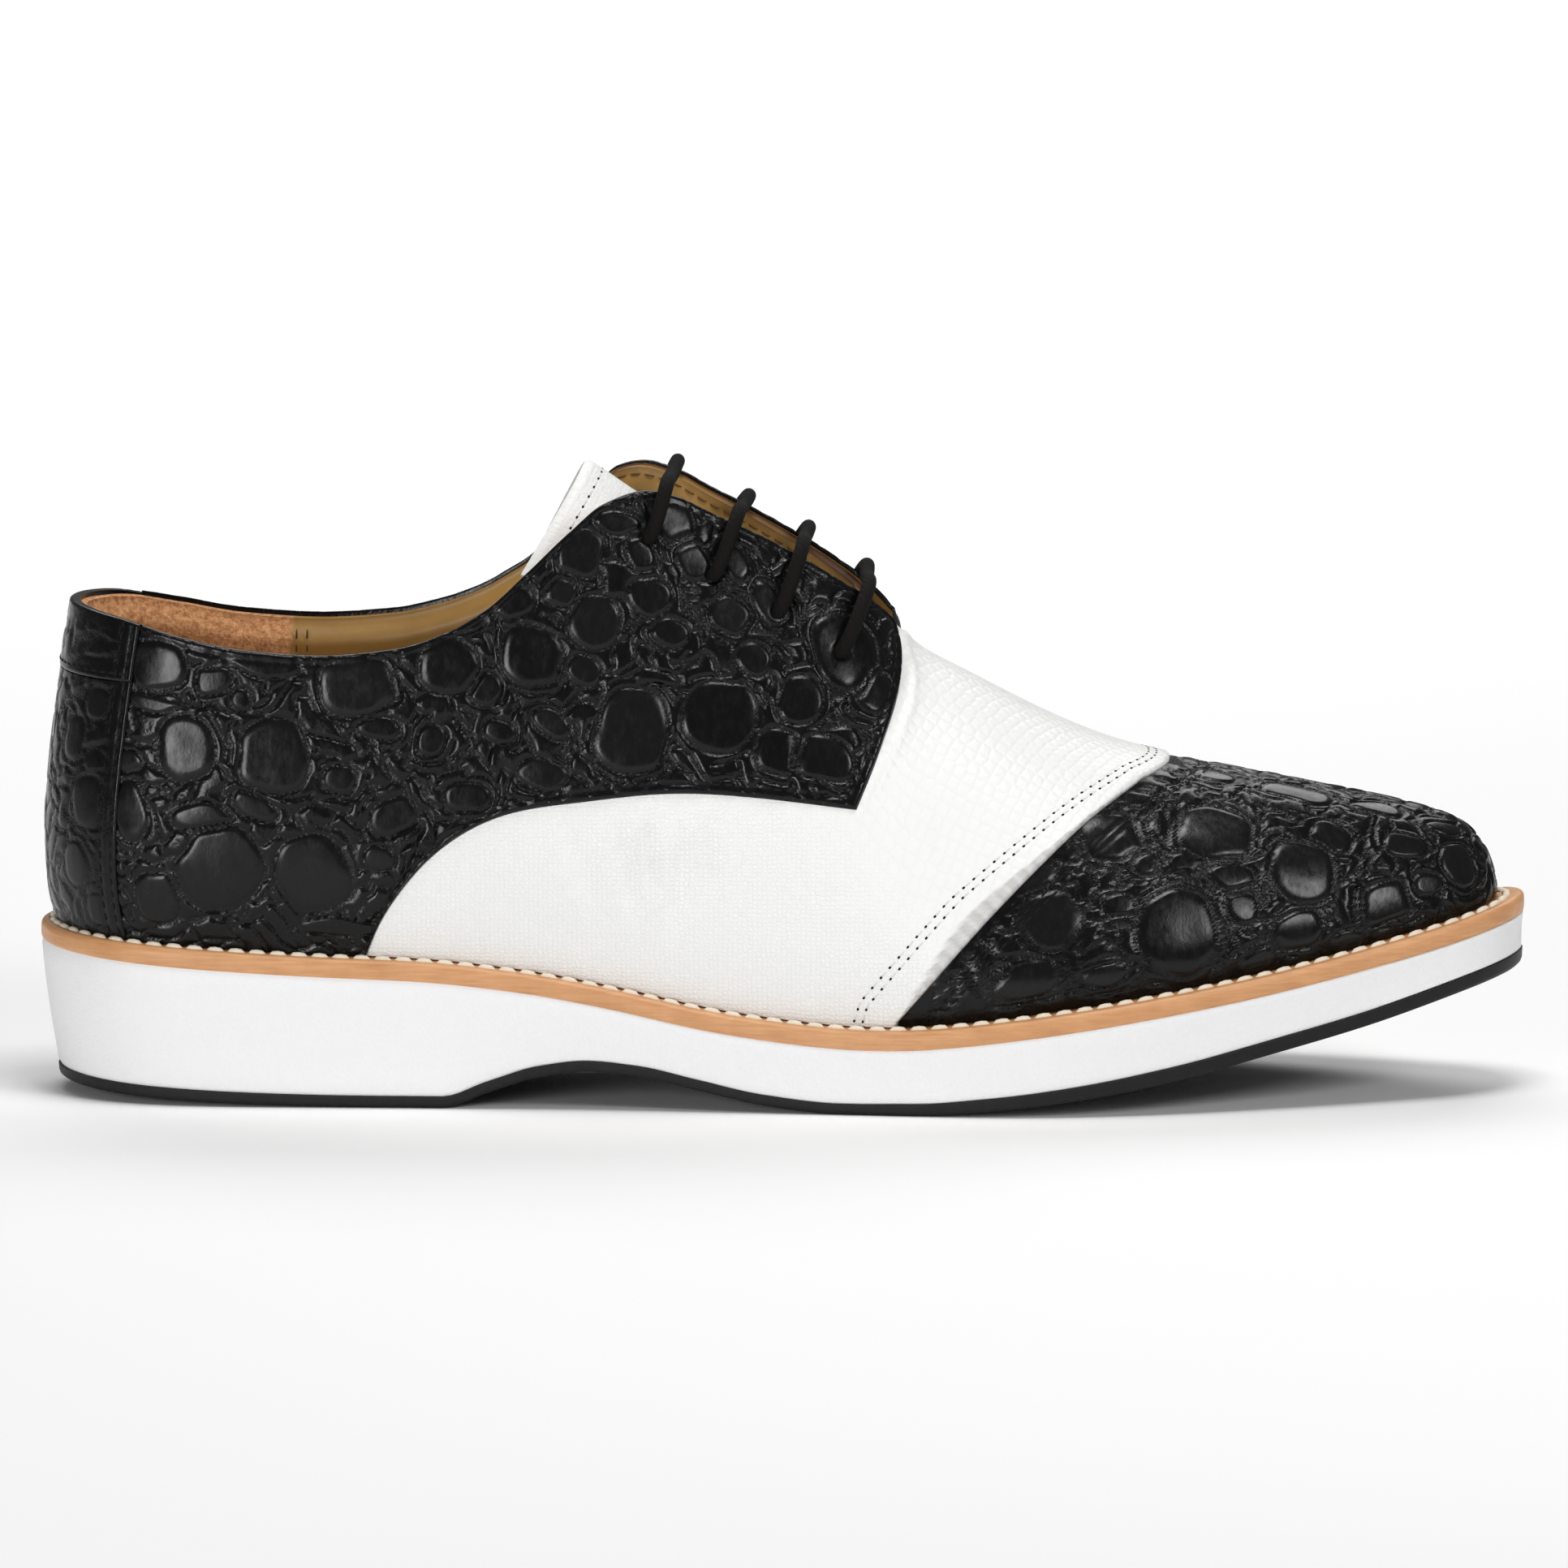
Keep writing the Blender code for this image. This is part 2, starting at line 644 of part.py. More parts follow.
def along_top(side, count):
    """Points evenly spread along the top line, from the back strip to the facing's front."""
    xs = np.linspace(STRIP_EDGE_X, FACING_FRONT[-1].x, 800)
    zs = top_line(xs) + side_rise(xs, side)
    run = np.concatenate([[0], np.cumsum(np.hypot(np.diff(xs), np.diff(zs)))])
    even = np.linspace(0, run[-1], count)
    return np.interp(even, run, xs), np.interp(even, run, zs)


def quarter_spots(side, rows):
    """Grid over a quarter, from the back strip to the facing's front and from its foot to the top line."""
    front_x, front_z = drawn(FACING_FRONT, rows + 1)
    welt_x = np.linspace(STRIP_EDGE_X, QUARTER_FOOT[0].x, WELT_COLUMNS + 1)
    line_x, line_z = drawn(QUARTER_FOOT, FOOT_COLUMNS + 1)
    foot_x, foot_z = np.append(welt_x, line_x[1:]), np.append(feather_z(welt_x), line_z[1:])
    head_x, head_z = along_top(side, len(foot_x))
    rise, share = np.linspace(0, 1, rows + 1), np.linspace(0, 1, len(foot_x))
    xs = foot_x[:, None] + (head_x - foot_x)[:, None] * rise
    zs = foot_z[:, None] + (head_z - foot_z)[:, None] * rise
    bow = np.clip((share - 0.6) / 0.4, 0, 1)[:, None] ** 2
    xs = xs + bow * (np.interp(zs[-1], front_z, front_x) - xs[-1])
    angle, girth = side_spot(xs, zs, side)
    girth[: WELT_COLUMNS + 1, 0] = 0.0 if side == LATERAL else math.pi
    near_strip = np.clip(1 - np.arange(len(foot_x)) / WELT_COLUMNS, 0, 1)[:, None] ** 2
    angle = angle + (strip_edge() + STRIP_CLEARANCE - angle[0]) * near_strip
    return angle, girth, facing_lift(xs, rise)


def build_quarter(name, side, material, punches):
    angle, girth, lift = quarter_spots(side, 9)
    outer = leather(angle, girth, QUARTER_LEVEL + lift)
    inner = leather(angle, girth, PANEL_FLOOR + lift)
    quarter = add_solid(name, *walled([(outer, inner)]), material)
    cut_with(quarter, punches)
    return quarter


def strip_edge():
    """Angle of the back strip's edge."""
    return float(side_spot(STRIP_EDGE_X, 60.0, LATERAL)[0])


def build_back(strip_material):
    """Strip and tab that wrap the back of the heel, over the quarters' rear edges."""
    edge = strip_edge()
    angles = np.linspace(-edge, edge, 11)
    top = np.array([top_girth(abs(a), LATERAL) for a in angles])
    _, tab_foot = side_spot(np.full(len(angles), TAB_FOOT_X), np.full(len(angles), TAB_FOOT_Z), LATERAL)
    step = 0.004
    for name, low, high, rows, level in (
        ("back_strip", 0 * top, tab_foot - step, 8, STRIP_LEVEL),
        ("heel_tab", tab_foot + step, top, 3, TAB_LEVEL),
    ):
        girths = low[:, None] + (high - low)[:, None] * np.linspace(0, 1, rows + 1)
        spread = np.repeat(angles[:, None], rows + 1, axis=1)
        add_solid(name, *walled([shell(spread, girths, PANEL_FLOOR, level)]), strip_material)


# Tongue


def build_tongue(material):
    """Arched sheet under the facings, sewn in under the vamp and standing out behind them."""
    rows, columns = 10, 8
    run = -column(TONGUE, "x")
    along = np.linspace(run[0], run[-1], rows + 1)
    z, edge_x, edge_z = (smooth_line(run, column(TONGUE, name))(along) for name in ("z", "edge_x", "edge_z"))
    depth = UPPER_WALL - UPPER_LEVEL + TONGUE_CLEARANCE
    crest = np.stack([-along, centre_y(-along), z], axis=-1)
    edges = {}
    for side in (LATERAL, MEDIAL):
        edges[side] = leather(*side_spot(edge_x, edge_z, side), -depth + 0 * along)
    outer = []
    for share in np.linspace(-1, 1, columns + 1):
        reach = edges[MEDIAL if share > 0 else LATERAL] - crest
        outer.append(crest + reach * np.array([share**2, abs(share), share**2]))
    outer = np.stack(outer, axis=1)
    normal = np.cross(np.gradient(outer, axis=1), np.gradient(outer, axis=0))
    normal /= np.linalg.norm(normal, axis=-1, keepdims=True)
    normal *= np.sign(normal[..., 2:])
    return add_solid("tongue", *walled([(outer, outer - TONGUE_THICKNESS * normal)]), material)


# Laces


def eyelet_spots():
    """(side, row, angle, girth) of each eyelet."""
    for side in (LATERAL, MEDIAL):
        for row, eyelet in enumerate(EYELETS):
            x = eyelet.x if side == LATERAL else EYELETS[2].x + MEDIAL_PITCH * (eyelet.x - EYELETS[2].x)
            z = eyelet.z if side == LATERAL else EYELETS[2].z + MEDIAL_PITCH * (eyelet.z - EYELETS[2].z)
            angle, girth = side_spot(x, z + side_rise(x, side), side)
            yield side, row, float(angle), float(girth)


def build_punches():
    """Cutters for the lace holes, one mesh of eight rods."""
    points, faces, sides, reach = [], [], PUNCH_SIDES, 9.0
    for _, _, angle, girth in eyelet_spots():
        centre, normal = lasted(angle, girth), outward(angle, girth)
        flat = np.cross(normal, [0.0, 1.0, 0.0])
        flat /= np.linalg.norm(flat)
        other = np.cross(normal, flat)
        first = len(points)
        for end in (-reach, reach):
            for k in range(sides):
                turn = 2 * math.pi * (k + 0.3) / sides
                ring = EYELET_DIAMETER / 2 * (math.cos(turn) * flat + math.sin(turn) * other)
                points.append(centre + end * normal + ring)
        for k in range(sides):
            n = (k + 1) % sides
            faces.append([first + k, first + n, first + sides + n, first + sides + k])
        faces.append([first + k for k in reversed(range(sides))])
        faces.append([first + sides + k for k in range(sides)])
    punches = add_solid("lace_hole_punches", points, faces, material_of("helper", (1, 0, 0), 0.5))
    punches.hide_render = True
    punches.display_type = "WIRE"
    return punches


def cut_with(obj, cutter):
    modifier = obj.modifiers.new("lace holes", "BOOLEAN")
    modifier.operation = "DIFFERENCE"
    modifier.solver = "EXACT"
    modifier.object = cutter


def lace_route(row):
    """Hand-set points of one bar: up through a lateral eyelet, over the throat, down a medial one."""
    halves = []
    for side, at_row, angle, girth in eyelet_spots():
        if at_row != row:
            continue
        eye, normal = lasted(angle, girth), outward(angle, girth)
        head = top_girth(angle, side)
        lift = float(facing_lift(EYELETS[row].x, 1.0))
        rest = QUARTER_LEVEL + LACE_DIAMETER / 2
        edge = lasted(angle, head) + outward(angle, head) * (rest + lift + 1.5 * GAP)
        toward = edge - eye
        toward /= np.linalg.norm(toward)
        over = eye + normal * (rest + 0.5 * lift + 2.5 * GAP)
        inside = UPPER_WALL - UPPER_LEVEL + 0.5
        through = [eye + level * normal for level in (-inside, -1.5, 2.2)]
        halves.append([*through, over + 2.2 * toward, edge])
    lateral, medial = halves
    middle = (lateral[-1] + medial[-1]) / 2
    return np.array([*lateral, middle, *medial[::-1]])


def build_laces(material):
    for row in range(len(EYELETS)):
        route = lace_route(row)
        run = np.concatenate([[0], np.cumsum(np.linalg.norm(np.diff(route, axis=0), axis=1))])
        lines = [smooth_line(run, route[:, k]) for k in range(3)]
        along = np.linspace(0, run[-1], CORD_POINTS)
        curve = bpy.data.curves.new(f"lace_bar_{row + 1}", "CURVE")
        curve.dimensions = "3D"
        curve.bevel_depth = LACE_DIAMETER / 2 * MM
        curve.bevel_resolution = CORD_SIDES_SETTING
        curve.use_fill_caps = True
        spline = curve.splines.new("POLY")
        spline.points.add(len(along) - 1)
        for point, s in zip(spline.points, along):
            point.co = (*(float(line(s)) * MM for line in lines), 1.0)
        curve.materials.append(material)
        obj = bpy.data.objects.new(f"lace_bar_{row + 1}", curve)
        bpy.context.scene.collection.objects.link(obj)


# Sole


def sole_angles(count):
    """Stations from heel to toe, a little in from both tips, with one on each bend of the tread."""
    even = np.linspace(0.03, math.pi - 0.03, count)
    bends = np.arccos(-column(SOLE[3:12], "x") / (SOLE_LENGTH / 2))
    clear = [a for a in even if np.abs(bends - a).min() > 0.03]
    return np.sort(np.concatenate([clear, bends]))


def build_welt(material):
    """Leather strip all round, under the edge of the upper."""
    rings = []
    turns = [(a, LATERAL) for a in np.linspace(0, math.pi, STATIONS)]
    turns += [(a, MEDIAL) for a in np.linspace(math.pi, 0, STATIONS)[1:-1]]
    soft = WELT_ROUNDING
    for angle, side in turns:
        ring = []
        for inset, up in (
            (0.0, soft),
            (0.0, WELT_THICKNESS - soft),
            (soft, WELT_THICKNESS),
            (WELT_WIDTH, WELT_THICKNESS),
            (WELT_WIDTH, 0.0),
            (soft / 2, 0.0),
        ):
            x, y = inset_edge(angle, side, inset)
            ring.append((float(x), float(y), float(welt_z(x)) + up))
        rings.append(ring)
    size = len(rings[0])
    points = [p for ring in rings for p in ring]
    faces = []
    for i in range(len(rings)):
        n = (i + 1) % len(rings)
        for j in range(size):
            k = (j + 1) % size
            faces.append([i * size + j, i * size + k, n * size + k, n * size + j])
    add_solid("welt", points, faces, material)


def sole_section(angle, steps):
    """Ring of points across the sole: lateral side going up, then medial side coming down."""
    ring = []
    for side, order in ((LATERAL, steps), (MEDIAL, steps[::-1])):
        for inset, height in order:
            x, y = inset_edge(angle, side, inset(angle, side))
            ring.append((float(x), float(y), float(height(x))))
    return ring


def build_midsole(material):
    """White wedge: heel block, arch and forefoot, with a raised bed inside the welt."""

    def low_inset(angle, side):
        return lean_in(welt_edge(angle, side)[0])

    def bed(angle, side):
        return WELT_WIDTH + GAP + 0.2

    def bottom(x):
        return tread_z(x) + OUTSOLE_THICKNESS + GAP

    steps = [
        (low_inset, bottom),
        (lambda a, s: 0.45 * low_inset(a, s) + 0.2, lambda x: bottom(x) + 0.55 * (welt_z(x) - bottom(x))),
        (lambda a, s: 0.2, lambda x: welt_z(x) - GAP),
        (bed, lambda x: welt_z(x) - GAP),
        (bed, lambda x: welt_z(x) + WELT_THICKNESS),
    ]
    sections = [sole_section(a, steps) for a in sole_angles(STATIONS)]
    add_solid("midsole", *lofted(sections), material)


def build_outsole(material):
    """Thin black tread that follows the wedge from heel to toe."""

    def edge(angle, side):
        return lean_in(welt_edge(angle, side)[0])

    steps = [
        (lambda a, s: edge(a, s) + 1.6, tread_z),
        (lambda a, s: edge(a, s) + 0.4, lambda x: tread_z(x) + 0.7),
        (edge, lambda x: tread_z(x) + OUTSOLE_THICKNESS),
    ]
    sections = [sole_section(a, steps) for a in sole_angles(STATIONS)]
    add_solid("outsole", *lofted(sections), material)


def build_insole(material):
    """Footbed that lies inside the upper."""
    clear = GAP + 0.3

    def edge(angle, side):
        return margin(angle) - UPPER_LEVEL + UPPER_WALL + clear

    steps = [
        (lambda a, s: edge(a, s) + 0.4, lambda x: welt_z(x) + WELT_THICKNESS + GAP),
        (edge, lambda x: welt_z(x) + WELT_THICKNESS + GAP + INSOLE_THICKNESS),
    ]
    sections = [sole_section(a, steps) for a in np.linspace(0.06, math.pi - 0.06, 26)]
    add_solid("insole", *lofted(sections), material)


def main():
    for obj in list(bpy.data.objects):
        bpy.data.objects.remove(obj)
    black = material_of("black_scaled_leather", (0.012, 0.012, 0.013), 0.32)
    white = material_of("white_grained_leather", (0.86, 0.86, 0.85), 0.5)
    lining = material_of("tan_lining", (0.47, 0.27, 0.09), 0.6)
    foam = material_of("white_foam", (0.88, 0.88, 0.88), 0.7)
    rubber = material_of("black_rubber", (0.02, 0.02, 0.021), 0.6)
    tan = material_of("tan_welt_leather", (0.66, 0.36, 0.16), 0.5)
    cord = material_of("black_cord", (0.014, 0.012, 0.011), 0.75)
    punches = build_punches()
    build_outsole(rubber)
    build_midsole(foam)
    build_welt(tan)
    build_insole(lining)
    build_upper(lining, punches)
    build_toe_cap(black)
    build_vamp(white)
    build_quarter("quarter_lateral", LATERAL, black, punches)
    build_quarter("quarter_medial", MEDIAL, black, punches)
    build_back(black)
    build_tongue(white)
    build_laces(cord)


main()
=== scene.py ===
"""Looks of a laced dress shoe: black scaled-leather toe and quarters, white vamp, tan welt, white wedge sole.

Every piece is built on the same lasted surface as the part's solids.
Sizes are in millimetres, meshes in metres.
"""

import math
from collections import namedtuple

import bmesh
import bpy
import numpy as np
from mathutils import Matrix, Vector


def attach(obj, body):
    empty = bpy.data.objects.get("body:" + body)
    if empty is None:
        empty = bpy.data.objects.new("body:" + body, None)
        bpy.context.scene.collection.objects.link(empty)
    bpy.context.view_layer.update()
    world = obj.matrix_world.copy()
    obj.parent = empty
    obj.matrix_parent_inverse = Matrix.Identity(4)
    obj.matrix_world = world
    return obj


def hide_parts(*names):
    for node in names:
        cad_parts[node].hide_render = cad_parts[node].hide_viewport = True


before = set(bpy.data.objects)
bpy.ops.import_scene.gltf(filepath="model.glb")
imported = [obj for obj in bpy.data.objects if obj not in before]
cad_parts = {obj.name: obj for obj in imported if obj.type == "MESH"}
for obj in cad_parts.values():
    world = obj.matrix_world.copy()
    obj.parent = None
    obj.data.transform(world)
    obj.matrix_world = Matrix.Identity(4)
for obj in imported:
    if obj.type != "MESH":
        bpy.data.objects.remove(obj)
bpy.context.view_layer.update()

MM = 0.001
LATERAL, MEDIAL = -1, 1


def rows_of(columns, *rows):
    """Table whose rows have named columns."""
    kind = namedtuple("Row", columns)
    return [kind(*row) for row in rows]


def column(rows, name):
    return np.array([getattr(row, name) for row in rows], float)


# Driving dimensions
SOLE_LENGTH = 304.5
HEEL_NOSE_RADIUS = 34.0
TOE_NOSE_RADIUS = 27.0
TOE_SWING = 1.5
PLAN_SHIFT = -1.3
GAP = 0.3

# Thicknesses, and levels measured outwards from the lasted surface
OUTSOLE_THICKNESS = 2.2
WELT_THICKNESS = 4.0
WELT_WIDTH = 12.0
INSOLE_THICKNESS = 3.0
UPPER_LEVEL = -1.8
UPPER_WALL = 2.0
TOE_LEVEL = 0.0
VAMP_LEVEL = 0.7
QUARTER_LEVEL = 1.4
STRIP_LEVEL = 1.9
TAB_LEVEL = 2.3
TONGUE_THICKNESS = 2.2

# Distance from the welt's edge in to the lasted surface
HEEL_MARGIN = 4.8
SIDE_MARGIN = 5.2
TOE_MARGIN = 6.0

# Plan of the welt's edge: half widths either side of the centre line
PLAN = rows_of(
    "x lateral medial",
    (-140.0, 26.0, 26.0), (-120.0, 33.0, 32.5), (-90.0, 34.5, 33.0), (-60.0, 36.0, 31.5),
    (-30.0, 39.0, 32.5), (0.0, 42.5, 38.0), (30.0, 47.0, 46.5), (55.0, 48.5, 50.0), (80.0, 44.5, 46.5),
    (105.0, 36.5, 38.0), (125.0, 28.5, 29.0), (140.0, 21.0, 21.0),
)

# Side profiles of the sole: underside of the outsole, and underside of the welt
SOLE = rows_of(
    "x tread welt",
    (-152.0, 0.0, 31.0), (-120.0, 0.0, 28.8), (-90.0, 0.0, 27.2), (-70.0, 0.0, 26.2), (-61.0, 3.1, 25.3),
    (-50.0, 6.6, 23.9), (-40.0, 7.9, 22.2), (-30.0, 7.1, 20.2), (-18.0, 4.5, 17.6), (-4.0, 1.5, 15.4),
    (12.0, 0.0, 13.9), (28.0, 0.0, 14.0), (42.0, 1.0, 15.4), (60.0, 3.2, 17.8), (80.0, 6.7, 20.8),
    (100.0, 11.4, 24.2), (120.0, 16.3, 28.3), (140.0, 22.2, 33.1), (152.0, 25.6, 36.4),
)

# How far the sole's side leans in from the welt's edge down to the tread
LEAN = rows_of(
    "x amount",
    (-152.0, 3.6), (-110.0, 2.4), (-40.0, 1.6), (60.0, 1.2), (152.0, 0.4),
)

# Crest of the lasted surface. Behind the throat it runs up where the leg would be.
CREST = rows_of(
    "x z",
    (-150.0, 172.0), (-100.0, 175.0), (-62.0, 170.0), (-44.0, 160.0), (-33.0, 149.0), (-16.0, 131.5),
    (3.0, 117.0), (14.0, 107.0), (25.0, 93.0), (34.0, 87.0), (52.0, 77.6), (72.0, 69.6), (92.0, 65.6),
    (119.0, 60.4), (133.0, 57.2), (147.0, 52.6),
)
CREST_BACK, CREST_FRONT = -115.0, 136.0

# Shape of the cross sections along the shoe
GIRTH = rows_of(
    "x shoulder taper bulge",
    (-148.0, 1.00, 1.00, 0.08), (-100.0, 1.00, 1.00, 0.10), (-60.0, 1.00, 1.03, 0.09),
    (-20.0, 1.00, 1.10, 0.07), (20.0, 1.00, 1.12, 0.06), (60.0, 0.95, 1.05, 0.05),
    (100.0, 0.85, 0.95, 0.05), (147.0, 0.78, 0.86, 0.05),
)

# Lines drawn on the side of the shoe
TOP_LINE = rows_of(
    "x z",
    (-150.0, 101.8), (-136.0, 99.9), (-124.0, 96.8), (-110.0, 94.2), (-95.0, 93.3), (-80.0, 94.6),
    (-69.0, 98.0), (-61.0, 102.5), (-53.0, 109.6), (-44.0, 118.0), (-36.5, 123.8), (-29.0, 125.8),
    (-22.0, 124.0), (-16.0, 120.8), (-3.0, 114.0), (10.0, 105.8), (17.0, 100.4), (21.0, 96.2),
)
# How much higher the medial top line stands than the lateral one, or lower where it is below 0
MEDIAL_RISE = rows_of(
    "x amount",
    (-140.0, 0.0), (-120.0, 1.0), (-108.0, 0.95), (-95.0, 0.9), (-80.0, 0.6), (-68.0, -0.4), (-62.0, -1.4),
    (-57.5, -2.4), (-52.0, -4.0), (-45.0, -4.5), (-40.0, -2.4), (-34.0, 1.3), (-25.0, 1.6), (-5.0, 1.2),
    (10.0, 0.6), (21.0, 0.0),
)
QUARTER_FOOT = rows_of(
    "x z",
    (-85.8, 31.0), (-83.0, 38.0), (-79.0, 44.5), (-73.5, 51.0), (-66.5, 56.6), (-57.0, 61.0), (-42.0, 63.6),
    (-25.0, 65.3), (-8.0, 64.7), (15.0, 62.0),
)
FACING_FRONT = rows_of(
    "x z",
    (15.0, 62.0), (18.4, 70.0), (21.4, 78.0), (23.6, 86.0), (23.4, 91.0), (21.0, 96.2),
)
TOE_SEAM = rows_of(
    "x z",
    (23.5, 19.0), (32.0, 29.0), (40.0, 38.0), (52.5, 50.4), (66.0, 61.4), (74.0, 66.0),
)
TOE_SEAM_CREST_X = 79.5
THROAT_FRONT_X = 22.0
# The facing's edge stands off the tongue: how far, from which share of its height on, and where it starts
FACING_LIFT, FACING_LIFT_START = 1.6, 0.55
FACING_LIFT_X, FACING_LIFT_RUN = -40, 60
STRIP_EDGE_X = -136.0
TONGUE_CLEARANCE = 1.6
TAB_FOOT_X, TAB_FOOT_Z = -143.0, 87.0

# Tongue: its crest, and where its edges lie under the side of the shoe
TONGUE = rows_of(
    "x z edge_x edge_z",
    (44.0, 75.8, 42.0, 70.0), (25.0, 86.6, 21.0, 78.0), (14.0, 95.6, 9.0, 86.0), (3.0, 104.0, -3.0, 93.5),
    (-16.0, 115.6, -24.0, 103.0), (-40.4, 128.4, -52.0, 112.5),
)

# Eyelets on the side of the shoe, top to bottom
MEDIAL_PITCH = 0.95
EYELETS = rows_of(
    "x z",
    (-27.8, 116.6), (-14.4, 108.6), (-1.1, 100.8), (11.4, 92.6),
)


def unit(vectors):
    """Vectors brought to length 1."""
    return vectors / np.linalg.norm(vectors, axis=-1, keepdims=True)


def run_along(points):
    """Distance along a line of points, from its first one."""
    return np.concatenate([[0], np.cumsum(np.linalg.norm(np.diff(points, axis=0), axis=1))])


def flat_run(xs, zs):
    """Distance along a line drawn on the side."""
    return np.concatenate([[0], np.cumsum(np.hypot(np.diff(xs), np.diff(zs)))])


def smooth_line(xs, ys):
    """Natural cubic through the rows, running on straight past both ends."""
    xs, ys = np.asarray(xs, float), np.asarray(ys, float)
    step = np.diff(xs)
    slope = np.diff(ys) / step
    count = len(xs)
    matrix, right = np.eye(count), np.zeros(count)
    for i in range(1, count - 1):
        matrix[i, i - 1 : i + 2] = step[i - 1], 2 * (step[i - 1] + step[i]), step[i]
        right[i] = 6 * (slope[i] - slope[i - 1])
    bend = np.linalg.solve(matrix, right)

    def value(x):
        x = np.asarray(x, float)
        inside = np.clip(x, xs[0], xs[-1])
        i = np.clip(np.searchsorted(xs, inside) - 1, 0, count - 2)
        a, b, h = inside - xs[i], xs[i + 1] - inside, step[i]
        y = (bend[i] * b**3 + bend[i + 1] * a**3) / (6 * h)
        y = y + (ys[i] / h - bend[i] * h / 6) * b + (ys[i + 1] / h - bend[i + 1] * h / 6) * a
        first = slope[0] - step[0] * bend[1] / 6
        last = slope[-1] + step[-1] * bend[-2] / 6
        return y + np.minimum(x - xs[0], 0) * first + np.maximum(x - xs[-1], 0) * last

    return value


def steady_line(xs, ys):
    """Cubic through the rows that never overshoots them, so flats stay flat."""
    xs, ys = np.asarray(xs, float), np.asarray(ys, float)
    step = np.diff(xs)
    slope = np.diff(ys) / step
    grade = np.zeros(len(xs))
    grade[0], grade[-1] = slope[0], slope[-1]
    same_way = slope[:-1] * slope[1:] > 0
    weight_a, weight_b = 2 * step[1:] + step[:-1], step[1:] + 2 * step[:-1]
    safe_a = np.where(same_way, slope[:-1], 1)
    safe_b = np.where(same_way, slope[1:], 1)
    grade[1:-1] = np.where(same_way, (weight_a + weight_b) / (weight_a / safe_a + weight_b / safe_b), 0)

    def value(x):
        inside = np.clip(np.asarray(x, float), xs[0], xs[-1])
        i = np.clip(np.searchsorted(xs, inside) - 1, 0, len(xs) - 2)
        t = (inside - xs[i]) / step[i]
        rise = (3 - 2 * t) * t**2
        run = step[i] * (grade[i] * t * (1 - t) ** 2 - grade[i + 1] * t**2 * (1 - t))
        return ys[i] + (ys[i + 1] - ys[i]) * rise + run

    return value


def curve(rows, name, kind=smooth_line):
    """Line through one column of a table, by x."""
    return kind(column(rows, "x"), column(rows, name))


tread_z = curve(SOLE, "tread", steady_line)
welt_z = curve(SOLE, "welt")
lean_in = curve(LEAN, "amount")
crest_z = curve(CREST, "z")
shoulder, taper, bulge = (curve(GIRTH, name) for name in ("shoulder", "taper", "bulge"))
medial_rise = curve(MEDIAL_RISE, "amount", steady_line)
top_line = curve(TOP_LINE, "z", steady_line)


def round_ended(widths):
    """Half width by angle: 0 at the heel, pi at the toe, rounded at both ends."""
    half = SOLE_LENGTH / 2
    angles = np.arccos(-column(PLAN, "x") / half)
    shares = widths / np.sin(angles)
    ends = math.sqrt(HEEL_NOSE_RADIUS * half), math.sqrt(TOE_NOSE_RADIUS * half)
    return smooth_line([0, *angles, math.pi], [ends[0], *shares, ends[1]])


plan_share = {LATERAL: round_ended(column(PLAN, "lateral")), MEDIAL: round_ended(column(PLAN, "medial"))}


def centre_y(x):
    """The centre line swings a little to the medial side at the toe."""
    share = np.clip((np.asarray(x, float) + SOLE_LENGTH / 2) / SOLE_LENGTH, 0, 1)
    return PLAN_SHIFT + TOE_SWING * share**2


def welt_edge(angle, side):
    """Plan point on the welt's edge."""
    x = -SOLE_LENGTH / 2 * np.cos(angle)
    return x, centre_y(x) + side * np.sin(angle) * plan_share[side](angle)


def inset_edge(angle, side, inset):
    """Plan point that far inside the welt's edge, square to it."""
    small = 1e-4
    x, y = welt_edge(angle, side)
    x_a, y_a = welt_edge(angle - small, side)
    x_b, y_b = welt_edge(angle + small, side)
    run, rise = x_b - x_a, y_b - y_a
    length = np.hypot(run, rise)
    return x + side * inset * rise / length, y - side * inset * run / length


def margin(angle):
    """Welt that shows outside the lasted surface: more at the toe, less at the heel."""
    toward_toe = (1 - np.cos(angle)) / 2
    ends = HEEL_MARGIN + (TOE_MARGIN - HEEL_MARGIN) * toward_toe
    return ends + (SIDE_MARGIN - (HEEL_MARGIN + TOE_MARGIN) / 2) * np.sin(angle) ** 2


def feather_z(x):
    """Height where the upper stands on the welt."""
    return welt_z(x) + WELT_THICKNESS + GAP


